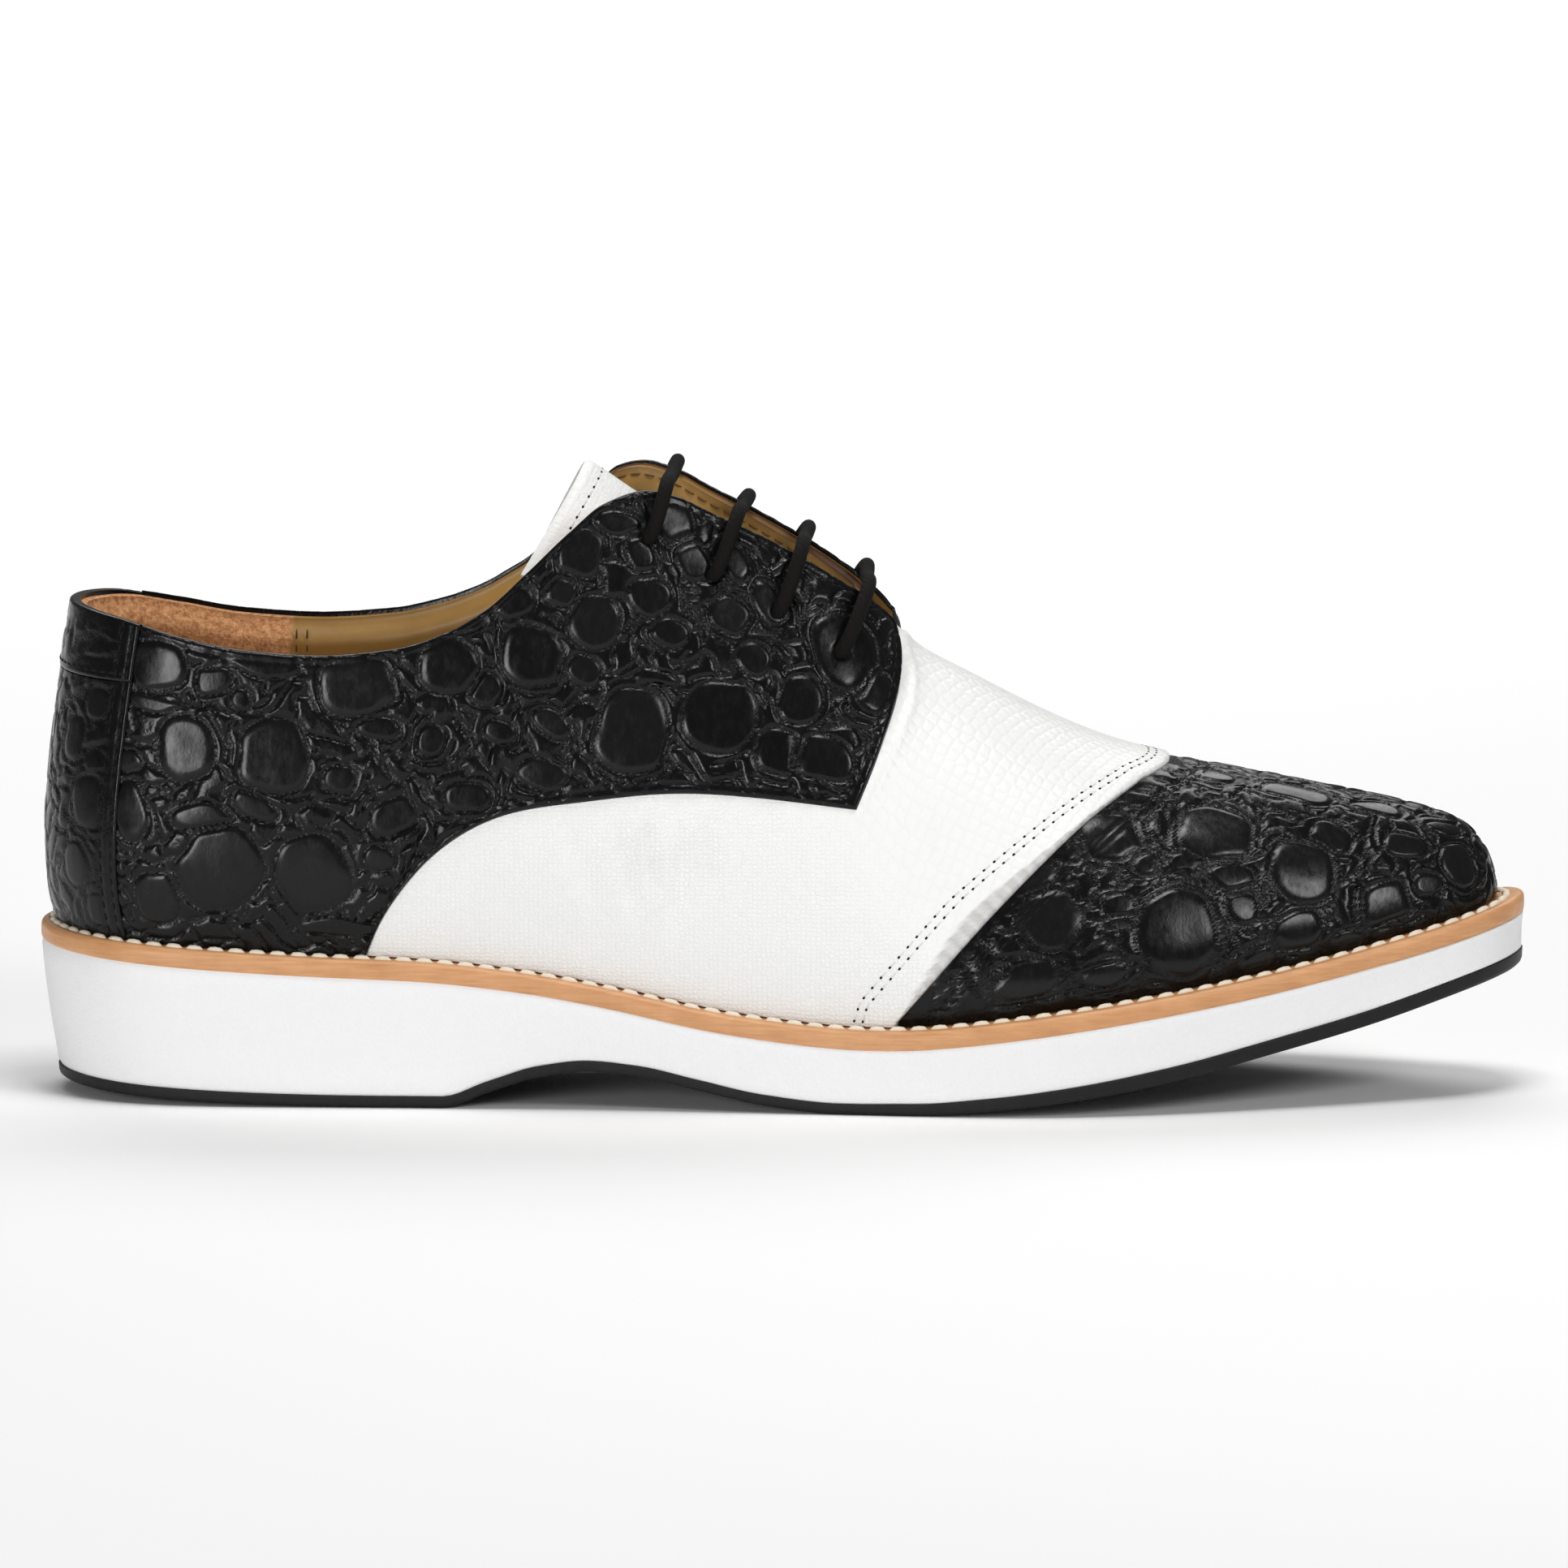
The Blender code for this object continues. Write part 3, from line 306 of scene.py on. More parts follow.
def lasted(angle, girth):
    """Point on the lasted surface.

    angle runs from 0 at the heel to pi at the toe.
    girth is 0 at the lateral welt, pi/2 at the crest and pi at the medial welt.
    """
    angle, girth = np.broadcast_arrays(np.asarray(angle, float), np.asarray(girth, float))
    beyond = (angle < 0) | (angle > math.pi)
    girth = np.where(beyond, math.pi - girth, girth)
    angle = np.where(angle < 0, -angle, np.where(angle > math.pi, 2 * math.pi - angle, angle))
    lift = np.minimum(girth, math.pi - girth)
    x_lat, y_lat = inset_edge(angle, LATERAL, margin(angle))
    x_med, y_med = inset_edge(angle, MEDIAL, margin(angle))
    on_lateral = girth <= math.pi / 2
    base_x, base_y = np.where(on_lateral, x_lat, x_med), np.where(on_lateral, y_lat, y_med)
    middle = (x_lat + x_med) / 2
    back, front = -SOLE_LENGTH / 2 + HEEL_MARGIN, SOLE_LENGTH / 2 - TOE_MARGIN
    crest_x = CREST_BACK + (middle - back) * (CREST_FRONT - CREST_BACK) / (front - back)
    height = np.sin(np.clip(lift, 0, math.pi / 2)) ** taper(middle)
    swell = 15 * height * (1 - height) ** 5
    width = np.clip(np.cos(lift), 0, 1) ** shoulder(middle) * (1 + bulge(middle) * swell)
    x = crest_x + (base_x - crest_x) * width
    y = centre_y(crest_x) + (base_y - centre_y(crest_x)) * width
    foot = feather_z(base_x)
    return np.stack([x, y, foot + (crest_z(x) - foot) * height], axis=-1)


def outward(angle, girth):
    """Unit normal of the lasted surface."""
    angle, girth = np.broadcast_arrays(np.asarray(angle, float), np.asarray(girth, float))
    tiny, right = 1e-6, math.pi / 2
    at_ends = np.abs(np.sin(angle)) < tiny
    crest_ends = at_ends & (np.abs(girth - right) < tiny)
    angle = np.where(crest_ends, np.clip(angle, 0.03, math.pi - 0.03), angle)
    small = 1e-3
    along = lasted(angle + small, girth) - lasted(angle - small, girth)
    low, high = np.maximum(girth - small, 0), np.minimum(girth + small, math.pi)
    upward = lasted(angle, high) - lasted(angle, low)
    normal = np.cross(along, upward)
    normal[at_ends, 1] = 0.0
    return unit(normal)


def surface(angle, girth):
    """Points of the lasted surface and their normals."""
    return lasted(angle, girth), outward(angle, girth)


def welt_girth(side):
    """Girth of the lasted surface where it meets the welt."""
    return 0.0 if side == LATERAL else math.pi


def leather(angle, girth, level):
    """Point at a level outside the lasted surface, kept clear of the welt."""
    point = lasted(angle, girth) + np.asarray(level)[..., None] * outward(angle, girth)
    point[..., 2] = np.maximum(point[..., 2], feather_z(point[..., 0]))
    return point


def side_spot(x, z, side):
    """(angle, girth) of the point of the lasted surface seen at x, z from one side."""
    x, z = np.broadcast_arrays(np.asarray(x, float), np.asarray(z, float))
    shape, x, z = x.shape, x.ravel(), z.ravel()
    tip, top = 0.02, 1.5
    along, up = np.linspace(tip, math.pi - tip, 60), np.linspace(0, top, 24)
    angles, girths = np.meshgrid(along, up, indexing="ij")
    girths = girths if side == LATERAL else math.pi - girths
    known = lasted(angles, girths).reshape(-1, 3)
    nearest = np.zeros(len(x), int)
    chunk = 4000
    for start in range(0, len(x), chunk):
        part = slice(start, start + chunk)
        nearest[part] = ((known[:, :1] - x[part]) ** 2 + (known[:, 2:] - z[part]) ** 2).argmin(axis=0)
    angle, girth = angles.ravel()[nearest], girths.ravel()[nearest]
    small, longest = 1e-4, 0.06
    inward = small if side == LATERAL else -small
    for _ in range(12):
        here = lasted(angle, girth)
        by_angle = (lasted(angle + small, girth) - here) / small
        by_girth = (lasted(angle, girth + inward) - here) / inward
        miss_x, miss_z = x - here[:, 0], z - here[:, 2]
        area = by_angle[:, 0] * by_girth[:, 2] - by_angle[:, 2] * by_girth[:, 0]
        area = np.where(np.abs(area) < 1e-6, 1e-6, area)
        step_angle = (miss_x * by_girth[:, 2] - miss_z * by_girth[:, 0]) / area
        step_girth = (miss_z * by_angle[:, 0] - miss_x * by_angle[:, 2]) / area
        angle = np.clip(angle + np.clip(step_angle, -longest, longest), 0, math.pi)
        girth = girth + np.clip(step_girth, -longest, longest)
        girth = np.clip(girth, 0, math.pi / 2) if side == LATERAL else np.clip(girth, math.pi / 2, math.pi)
    return angle.reshape(shape), girth.reshape(shape)


def side_rise(x, side):
    """Added height of the top line on the medial side."""
    amount = medial_rise(x)
    return amount if side == MEDIAL else 0 * amount


# Fine surfaces

SEAM_SLIT = 0.08
SKIN_FLOOR = -1.74
EDGE_STEPS = (0.0, 0.05, 0.15, 0.3, 0.5, 0.75, 1.05)
COARSE = 4
# Angle in degrees past which an edge is shaded sharp, on panels and on threads
SHARP, SHARP_THREAD = 50.0, 80.0
# Distance that stands for no border near
FAR = 50.0


def smooth_step(low, high, value):
    t = np.clip((value - low) / (high - low), 0, 1)
    return t * t * (3 - 2 * t)


def bump_at(value, centre, width):
    return np.exp(-(((value - centre) / width) ** 2))


def spaced(length, step, low=False, high=False):
    """Shares 0 to 1 along a length, closer together at a rolled edge."""
    near = np.array(EDGE_STEPS) / length
    first = near if low else np.array([0.0])
    last = 1 - near[::-1] if high else np.array([1.0])
    ends = len(first) + len(last) - 2
    count = max(2, round((last[0] - first[-1]) * length / step))
    count += -(count + ends) % COARSE
    middle = np.linspace(first[-1], last[0], count + 1)
    return np.concatenate([first[:-1], middle, last[1:]])


def reach(points, axis, backward=False):
    """Distance of each grid point from one border, along the grid."""
    step = np.linalg.norm(np.diff(points, axis=axis), axis=-1)
    run = np.cumsum(step, axis=axis)
    zero = np.zeros_like(run.take([0], axis=axis))
    run = np.concatenate([zero, run], axis=axis)
    return run.take([-1], axis=axis) - run if backward else run


def rolled(away, radius):
    """Level change of an edge that rolls over: 0 inside, -radius at the border."""
    inside = np.clip(radius - away, 0, radius)
    return np.sqrt(radius**2 - inside**2) - radius


def waves(points, length, seed, count=9):
    """Smooth noise about 0, from a few plane waves of about that length."""
    rng = np.random.default_rng(seed)
    way = rng.normal(size=(count, 3))
    lengths = length * rng.uniform(0.7, 1.5, (count, 1))
    way *= 2 * math.pi / (lengths * np.linalg.norm(way, axis=1, keepdims=True))
    return np.sin(points @ way.T + rng.uniform(0, 2 * math.pi, count)).sum(axis=-1) / math.sqrt(count)


def drawn(line, shares, aside=0.0):
    """Points along a line drawn on the side, moved square to it towards the toe."""
    xs, zs = column(line, "x"), column(line, "z")
    run = flat_run(xs, zs)
    x_of, z_of = smooth_line(run, xs), smooth_line(run, zs)
    along, small = np.asarray(shares) * run[-1], 0.01
    dx, dz = x_of(along + small) - x_of(along - small), z_of(along + small) - z_of(along - small)
    length = np.hypot(dx, dz)
    return x_of(along) + aside * dz / length, z_of(along) - aside * dx / length


def top_girth(angles, side, drop=0.0):
    """Girth at which each section reaches the collar or the facing's edge."""
    angles = np.atleast_1d(angles)
    girths = np.linspace(0, math.pi / 2, 600)
    points = lasted(angles[:, None], girths if side == LATERAL else math.pi - girths)
    over = points[..., 2] - (top_line(points[..., 0]) + side_rise(points[..., 0], side) - drop)
    first = np.argmax(over > 0, axis=1)
    row = np.arange(len(angles))
    before, after = over[row, first - 1], over[row, first]
    found = girths[first - 1] + (girths[1] - girths[0]) * before / (before - after)
    return found if side == LATERAL else math.pi - found


def crest_angle(x):
    """Angle of the section whose crest lies at x."""
    angles = np.linspace(0, math.pi, 2000)
    crest = lasted(angles, np.full_like(angles, math.pi / 2))[:, 0]
    return np.interp(x, crest, angles)


# Meshes


def placed(name, data):
    """Adds an object to the scene."""
    obj = bpy.data.objects.new(name, data)
    bpy.context.scene.collection.objects.link(obj)
    return obj


def gathered(bodies):
    """One mesh from several (points, faces)."""
    points, faces, count = [], [], 0
    for body, body_faces in bodies:
        faces += [[i + count for i in face] for face in body_faces]
        points.append(body)
        count += len(body)
    return np.concatenate(points), faces


def around(sides):
    """Angles of evenly spaced points round a ring."""
    return 2 * math.pi * np.arange(sides) / sides


def finish_mesh(name, points, faces, material, attributes=None, sharp=SHARP, backing=None):
    """Adds a closed mesh object with its faces turned outwards.

    backing is a second look and the faces it covers.
    """
    mesh = bpy.data.meshes.new(name)
    mesh.from_pydata((np.asarray(points) * MM).tolist(), [], faces)
    for key, values in (attributes or {}).items():
        kind = "FLOAT_VECTOR" if np.ndim(values) == 2 else "FLOAT"
        layer = mesh.attributes.new(key, kind, "POINT")
        slot = "vector" if kind == "FLOAT_VECTOR" else "value"
        layer.data.foreach_set(slot, np.ravel(values).astype(np.float32))
    mesh.materials.append(material)
    if backing:
        mesh.materials.append(backing[0])
        for index in backing[1]:
            mesh.polygons[index].material_index = 1
    work = bmesh.new()
    work.from_mesh(mesh)
    bmesh.ops.remove_doubles(work, verts=work.verts, dist=1e-7)
    bmesh.ops.recalc_face_normals(work, faces=work.faces)
    if work.calc_volume(signed=True) < 0:
        bmesh.ops.reverse_faces(work, faces=work.faces)
    work.to_mesh(mesh)
    work.free()
    mesh.shade_smooth()
    mesh.set_sharp_from_angle(angle=math.radians(sharp))
    obj = placed(name, mesh)
    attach(obj, "root")
    return obj


def quads_of(ids):
    """Quads of a grid of point numbers."""
    corners = ids[:-1, :-1], ids[1:, :-1], ids[1:, 1:], ids[:-1, 1:]
    return np.stack([c.ravel() for c in corners], axis=-1)


def panel(name, outer, inner, material, attributes, open_end=True, backing=None):
    """Closed panel: a fine outer grid over a coarser inner one.

    open_end is False where the last row is welded. backing is a look for the inside from start_x on,
    which leaves out the row of faces along the top edge.
    """
    rows, columns = outer.shape[:2]
    outer_ids = np.arange(rows * columns).reshape(rows, columns)
    inner_ids = rows * columns + np.arange(inner.shape[0] * inner.shape[1]).reshape(inner.shape[:2])
    front, back = quads_of(outer_ids), quads_of(inner_ids)[:, ::-1]
    faces = front.tolist() + back.tolist()
    borders = [(ids[0], ids[:, 0], ids[:, -1], ids[-1]) for ids in (outer_ids, inner_ids)]
    for fine, rough in list(zip(*borders))[: 4 if open_end else 3]:
        for k in range(len(rough) - 1):
            run = fine[k * COARSE : (k + 1) * COARSE + 1].tolist()
            faces.append([*run, int(rough[k + 1]), int(rough[k])])
    points = np.concatenate([outer.reshape(-1, 3), inner.reshape(-1, 3)])
    spread = {}
    for key, values in attributes.items():
        width = values.shape[2:]
        under = values[::COARSE, ::COARSE].reshape(-1, *width)
        spread[key] = np.concatenate([values.reshape(-1, *width), under])
    if backing:
        look, start_x = backing
        under_x = points[back].mean(axis=1)[:, 0].reshape(inner.shape[0] - 1, -1)
        covered = under_x > start_x
        covered[:, -1] = False
        backing = look, (len(front) + np.flatnonzero(covered)).tolist()
    return finish_mesh(name, points, faces, material, spread, backing=backing)


def skin(angle, girth, level, floor):
    """Outer grid of a panel and the coarser inner one."""
    every = slice(None, None, COARSE)
    inner_level = np.broadcast_to(floor, angle.shape)[every, every]
    return leather(angle, girth, level), leather(angle[every, every], girth[every, every], inner_level)


def sheet_of(grids):
    """Joins grids of (outer, inner) points into one sheet, welding points that coincide."""
    outer, inner, faces, known = [], [], [], {}

    def index_of(point, under):
        key = tuple(np.round(point, 3))
        if key not in known:
            known[key] = len(outer)
            outer.append(point)
            inner.append(under)
        return known[key]

    for grid_out, grid_in in grids:
        ids = [[index_of(p, q) for p, q in zip(row_p, row_q)] for row_p, row_q in zip(grid_out, grid_in)]
        for i in range(len(ids) - 1):
            for j in range(len(ids[0]) - 1):
                face = list(dict.fromkeys([ids[i][j], ids[i + 1][j], ids[i + 1][j + 1], ids[i][j + 1]]))
                if len(face) > 2:
                    faces.append(face)
    return outer, inner, faces


def walled(grids):
    """Closed solid between the outer and inner points of the grids."""
    outer, inner, faces = sheet_of(grids)
    count = len(outer)
    directed = {(f[i], f[(i + 1) % len(f)]) for f in faces for i in range(len(f))}
    rims = [edge for edge in directed if edge[::-1] not in directed]
    solid = faces + [[i + count for i in reversed(face)] for face in faces]
    solid += [[b, a, a + count, b + count] for a, b in sorted(rims)]
    return outer + inner, solid


def lofted(rings, closed=False):
    """Solid through rings of points.

    closed joins the last ring to the first, otherwise both ends are capped.
    """
    rings = np.asarray(rings)
    count, size = rings.shape[:2]
    ids = np.arange(count * size).reshape(count, size)
    ids = np.concatenate([ids, ids[:, :1]], axis=1)
    if closed:
        ids = np.concatenate([ids, ids[:1]], axis=0)
    faces = quads_of(ids).tolist()
    if not closed:
        for row in (ids[0], ids[-1, ::-1]):
            for i in range(size // 2 - 1):
                faces.append([int(row[k]) for k in (i, i + 1, size - 2 - i, size - 1 - i)])
    return rings.reshape(-1, 3), faces


# Materials


def new_look(name, colour, roughness, specular=0.5):
    """A material, its node tree and its shader."""
    material = bpy.data.materials.new(name)
    material.use_nodes = True
    tree = material.node_tree
    shader = tree.nodes["Principled BSDF"]
    shader.inputs["Base Color"].default_value = (*colour, 1.0)
    shader.inputs["Roughness"].default_value = roughness
    shader.inputs["Specular IOR Level"].default_value = specular
    return material, tree, shader


def add(tree, kind, settings=None, **inputs):
    """Adds a node; inputs are values or sockets, named as in the node with spaces as underscores."""
    node = tree.nodes.new(kind)
    for key, value in (settings or {}).items():
        setattr(node, key, value)
    for key, value in inputs.items():
        plug(tree, node.inputs[key.replace("_", " ")], value)
    return node


def plug(tree, socket, value):
    if isinstance(value, bpy.types.NodeSocket):
        tree.links.new(value, socket)
    else:
        socket.default_value = value


def sum_of(tree, operation, *values):
    """Output of a math node."""
    node = tree.nodes.new("ShaderNodeMath")
    node.operation = operation
    for socket, value in zip(node.inputs, values):
        plug(tree, socket, value)
    return node.outputs[0]


def wear(shader, name, value):
    """Links a value to one of the shader's sockets."""
    shader.id_data.links.new(value, shader.inputs[name])


def ranged(tree, value, from_low, from_high, to_low=0.0, to_high=1.0):
    node = add(tree, "ShaderNodeMapRange", Value=value)
    ends = {"From Min": from_low, "From Max": from_high, "To Min": to_low, "To Max": to_high}
    for key, amount in ends.items():
        plug(tree, node.inputs[key], amount)
    return node.outputs[0]


def attribute(tree, name, output="Fac"):
    return add(tree, "ShaderNodeAttribute", {"attribute_name": name}).outputs[output]


def millimetres(tree, stretch=(1.0, 1.0, 1.0)):
    """Object coordinates in millimetres."""
    place = add(tree, "ShaderNodeTexCoord").outputs["Object"]
    return add(tree, "ShaderNodeMapping", Vector=place, Scale=[1000 * s for s in stretch]).outputs[0]


def noise(tree, vector, scale, detail=2.0, roughness=0.5, output=0):
    node = add(tree, "ShaderNodeTexNoise", Vector=vector, Scale=scale, Detail=detail, Roughness=roughness)
    return node.outputs[output]


def cells(tree, vector, scale, feature="DISTANCE_TO_EDGE"):
    node = add(tree, "ShaderNodeTexVoronoi", {"feature": feature}, Vector=vector, Scale=scale)
    return node.outputs["Distance"]


def warped(tree, vector, scale, amount):
    """Coordinates shaken by noise."""
    shake = add(tree, "ShaderNodeTexNoise", Vector=vector, Scale=scale, Detail=2.0).outputs["Color"]
    centred = add(tree, "ShaderNodeVectorMath", {"operation": "SUBTRACT"})
    moved = add(tree, "ShaderNodeVectorMath", {"operation": "MULTIPLY_ADD"})
    for node, values in ((centred, (shake, [0.5] * 3)), (moved, (centred.outputs[0], [amount] * 3, vector))):
        for socket, value in zip(node.inputs, values):
            plug(tree, socket, value)
    return moved.outputs[0]


def blend_colour(tree, share, first, second):
    node = add(tree, "ShaderNodeMix", {"data_type": "RGBA"})
    plug(tree, node.inputs[0], share)
    for socket, colour in ((node.inputs[6], first), (node.inputs[7], second)):
        plug(tree, socket, colour if isinstance(colour, bpy.types.NodeSocket) else (*colour, 1.0))
    return node.outputs[2]


def emboss(tree, shader, height, depth, strength=1.0):
    """Bump of that depth in millimetres for heights 0 to 1."""
    node = add(tree, "ShaderNodeBump", Height=height, Distance=depth * MM, Strength=strength)
    wear(shader, "Normal", node.outputs[0])


def scaled_leather():
    """Black embossed leather: smooth glossy scales with crinkles along the grooves between them."""
    material, tree, shader = new_look("black_scaled_leather", (0.004, 0.004, 0.004), 0.28, 0.25)
    here = millimetres(tree)
    plate, groove = attribute(tree, "plate"), attribute(tree, "groove")
    shaken = warped(tree, here, 0.45, 1.5)
    crinkle = ranged(tree, cells(tree, shaken, 0.95), 0.0, 0.35)
    crinkle = sum_of(tree, "MULTIPLY", crinkle, sum_of(tree, "MULTIPLY_ADD", groove, 0.65, 0.12))
    crinkle = sum_of(tree, "MULTIPLY", crinkle, sum_of(tree, "SUBTRACT", 1.0, plate))
    streaks = noise(tree, millimetres(tree, (1.0, 1.0, 0.5)), 0.7, 5.0, 0.65)
    height = sum_of(tree, "MULTIPLY_ADD", streaks, 0.20, sum_of(tree, "MULTIPLY", crinkle, 0.5))
    emboss(tree, shader, height, 0.22)
    rough = ranged(tree, streaks, 0.35, 0.65, 0.15, 0.30)
    wear(shader, "Roughness", sum_of(tree, "MULTIPLY_ADD", groove, 0.15, rough))
    tone = sum_of(tree, "MULTIPLY", attribute(tree, "tone"), plate)
    wear(shader, "Base Color", blend_colour(tree, tone, (0.003, 0.003, 0.003), (0.007, 0.007, 0.007)))
    return material


def tile_height(tree, vector, width, height, uneven):
    """Heights of rows of small rounded tiles."""
    fitted = add(tree, "ShaderNodeVectorMath", {"operation": "MULTIPLY"}, Vector=vector)
    fitted.inputs[1].default_value = (1 / width, 1 / height, 0.0)
    tiles = add(
        tree, "ShaderNodeTexVoronoi", {"feature": "DISTANCE_TO_EDGE", "voronoi_dimensions": "2D"},
        Vector=fitted.outputs[0], Scale=1.0, Randomness=uneven,
    )
    return ranged(tree, tiles.outputs["Distance"], 0.0, 0.3)


def white_leather():
    """White embossed leather: rows of small tiles, finer towards the arch."""
    material, tree, shader = new_look("white_grained_leather", (0.88, 0.88, 0.87), 0.42)
    here = millimetres(tree)
    bent = warped(tree, attribute(tree, "weave", "Vector"), 0.25, 0.7)
    tiles = tile_height(tree, bent, 2.25, 3.7, 0.3)
    grains = tile_height(tree, warped(tree, attribute(tree, "grain", "Vector"), 0.2, 1.0), 1.0, 0.9, 0.45)
    fine = attribute(tree, "fine")
    mixed = add(tree, "ShaderNodeMix", {"data_type": "FLOAT"})
    for socket, value in zip(mixed.inputs[:1] + mixed.inputs[2:4], (fine, tiles, grains)):
        plug(tree, socket, value)
    height = sum_of(tree, "MULTIPLY_ADD", noise(tree, here, 1.2, 3.0), 0.5, mixed.outputs[0])
    emboss(tree, shader, height, 0.10)
    shade = noise(tree, here, 0.06, 3.0)
    white = blend_colour(tree, shade, (0.835, 0.835, 0.825), (0.86, 0.86, 0.85))
    # Painted shade: the grooves between the tiles are darkened a little towards grey.
    groove = sum_of(tree, "SUBTRACT", 1.0, sum_of(tree, "MULTIPLY", mixed.outputs[0], 1.4))
    groove = sum_of(tree, "MULTIPLY", sum_of(tree, "MAXIMUM", groove, 0.0), 0.08)
    white = blend_colour(tree, groove, white, (0.62, 0.62, 0.61))
    # Grey band along the toe seam: the cut edge's grey, partly painted shade of its rolled edge.
    wear(shader, "Base Color", blend_colour(tree, attribute(tree, "rim"), white, (0.47, 0.46, 0.445)))
    wear(shader, "Roughness", ranged(tree, noise(tree, here, 0.4, 3.0), 0.3, 0.7, 0.36, 0.50))
    return material


def lining_leather():
    """Tan lining, smooth in front and suede round the heel."""
    material, tree, shader = new_look("tan_lining", (0.46, 0.25, 0.06), 0.5)
    here = millimetres(tree)
    suede = attribute(tree, "suede")
    blotch = noise(tree, here, 0.12, 4.0, 0.6)
    smooth_tan = blend_colour(tree, blotch, (0.27, 0.142, 0.03), (0.44, 0.25, 0.066))
    nap = noise(tree, here, 0.8, 5.0, 0.75)
    rough_tan = blend_colour(tree, ranged(tree, nap, 0.35, 0.65), (0.42, 0.158, 0.054), (0.98, 0.52, 0.24))
    tan = blend_colour(tree, suede, smooth_tan, rough_tan)
    edge = sum_of(tree, "MULTIPLY", attribute(tree, "burnt"), sum_of(tree, "SUBTRACT", 1.0, suede))
    wear(shader, "Base Color", blend_colour(tree, edge, tan, (0.08, 0.024, 0.007)))
    wear(shader, "Roughness", sum_of(tree, "MULTIPLY_ADD", suede, 0.45, 0.45))
    pores = noise(tree, here, 0.5, 3.0)
    napped = sum_of(tree, "MULTIPLY", nap, sum_of(tree, "MULTIPLY", suede, 14.0))
    emboss(tree, shader, sum_of(tree, "ADD", pores, napped), 0.06)
    return material


def foam():
    """White moulded foam with a very fine stipple."""
    material, tree, shader = new_look("white_foam", (0.88, 0.88, 0.885), 0.62)
    here = millimetres(tree)
    grain = noise(tree, here, 1.9, 4.0, 0.7)
    emboss(tree, shader, grain, 0.22)
    wear(shader, "Base Color", blend_colour(tree, grain, (0.86, 0.86, 0.87), (0.905, 0.905, 0.905)))
    return material


def rubber():
    material, tree, shader = new_look("black_rubber", (0.014, 0.014, 0.015), 0.5, 0.25)
    here = millimetres(tree)
    emboss(tree, shader, noise(tree, here, 3.0, 3.0), 0.05)
    shade = noise(tree, here, 0.3, 3.0)
    wear(shader, "Base Color", blend_colour(tree, shade, (0.006, 0.006, 0.006), (0.011, 0.011, 0.011)))
    return material


def welt_leather():
    """Tan veg leather, its cut side in fine layers."""
    material, tree, shader = new_look("tan_welt_leather", (0.66, 0.34, 0.15), 0.45)
    here = millimetres(tree)
    layers = noise(tree, millimetres(tree, (0.12, 0.12, 1.6)), 1.0, 4.0, 0.6)
    blotch = noise(tree, here, 0.16, 3.0)
    mixed = sum_of(tree, "MULTIPLY_ADD", layers, 0.6, sum_of(tree, "MULTIPLY", blotch, 0.4))
    shade = ranged(tree, mixed, 0.3, 0.7)
    wear(shader, "Base Color", blend_colour(tree, shade, (0.50, 0.23, 0.088), (0.69, 0.355, 0.16)))
    emboss(tree, shader, layers, 0.08)
    return material


def cord_look():
    """Matt brown-black braided cord."""
    material, tree, shader = new_look("black_cord", (0.012, 0.0105, 0.0095), 0.85, 0.12)
    turn = attribute(tree, "braid", "Vector")
    bands = {"wave_type": "BANDS", "bands_direction": "DIAGONAL"}
    strands = add(tree, "ShaderNodeTexWave", bands, Vector=turn, Scale=1.0)
    fuzz = noise(tree, millimetres(tree), 3.5, 4.0, 0.7)
    height = sum_of(tree, "MULTIPLY_ADD", strands.outputs["Fac"], 0.5, fuzz)
    emboss(tree, shader, height, 0.16)
    wear(shader, "Base Color", blend_colour(tree, fuzz, (0.0035, 0.003, 0.0027), (0.010, 0.0088, 0.008)))
    return material


def thread_look(name, dark, light, roughness):
    material, tree, shader = new_look(name, light, roughness, 0.2)
    twist = noise(tree, millimetres(tree), 4.0, 3.0)
    wear(shader, "Base Color", blend_colour(tree, twist, dark, light))
    emboss(tree, shader, twist, 0.08)
    return material


# Scales of the embossed leather

Seeds = namedtuple("Seeds", "centre across up long tall square")
PLATE_GROWTH = 1.1
FOLD_PITCH = 1.6
PLATE_GROOVE = 0.6
# How far a plate is looked for, and the depth through the shoe past which it fades
PLATE_REACH, PLATE_DEPTH, PLATE_FADE = 14.0, 6.0, 4
# Heights of the plates, of the ring of folds round them and of the small scales between
PLATE_RISE, RING_RISE, FILL_RISE = 0.46, 0.34, 0.20
GROOVE_WIDTH, GROOVE_DEPTH = 0.32, 0.12
# Height of the relief that lies at a panel's level, and the share of it left at an edge
RELIEF_MIDDLE, EDGE_RELIEF = 0.35, 0.3

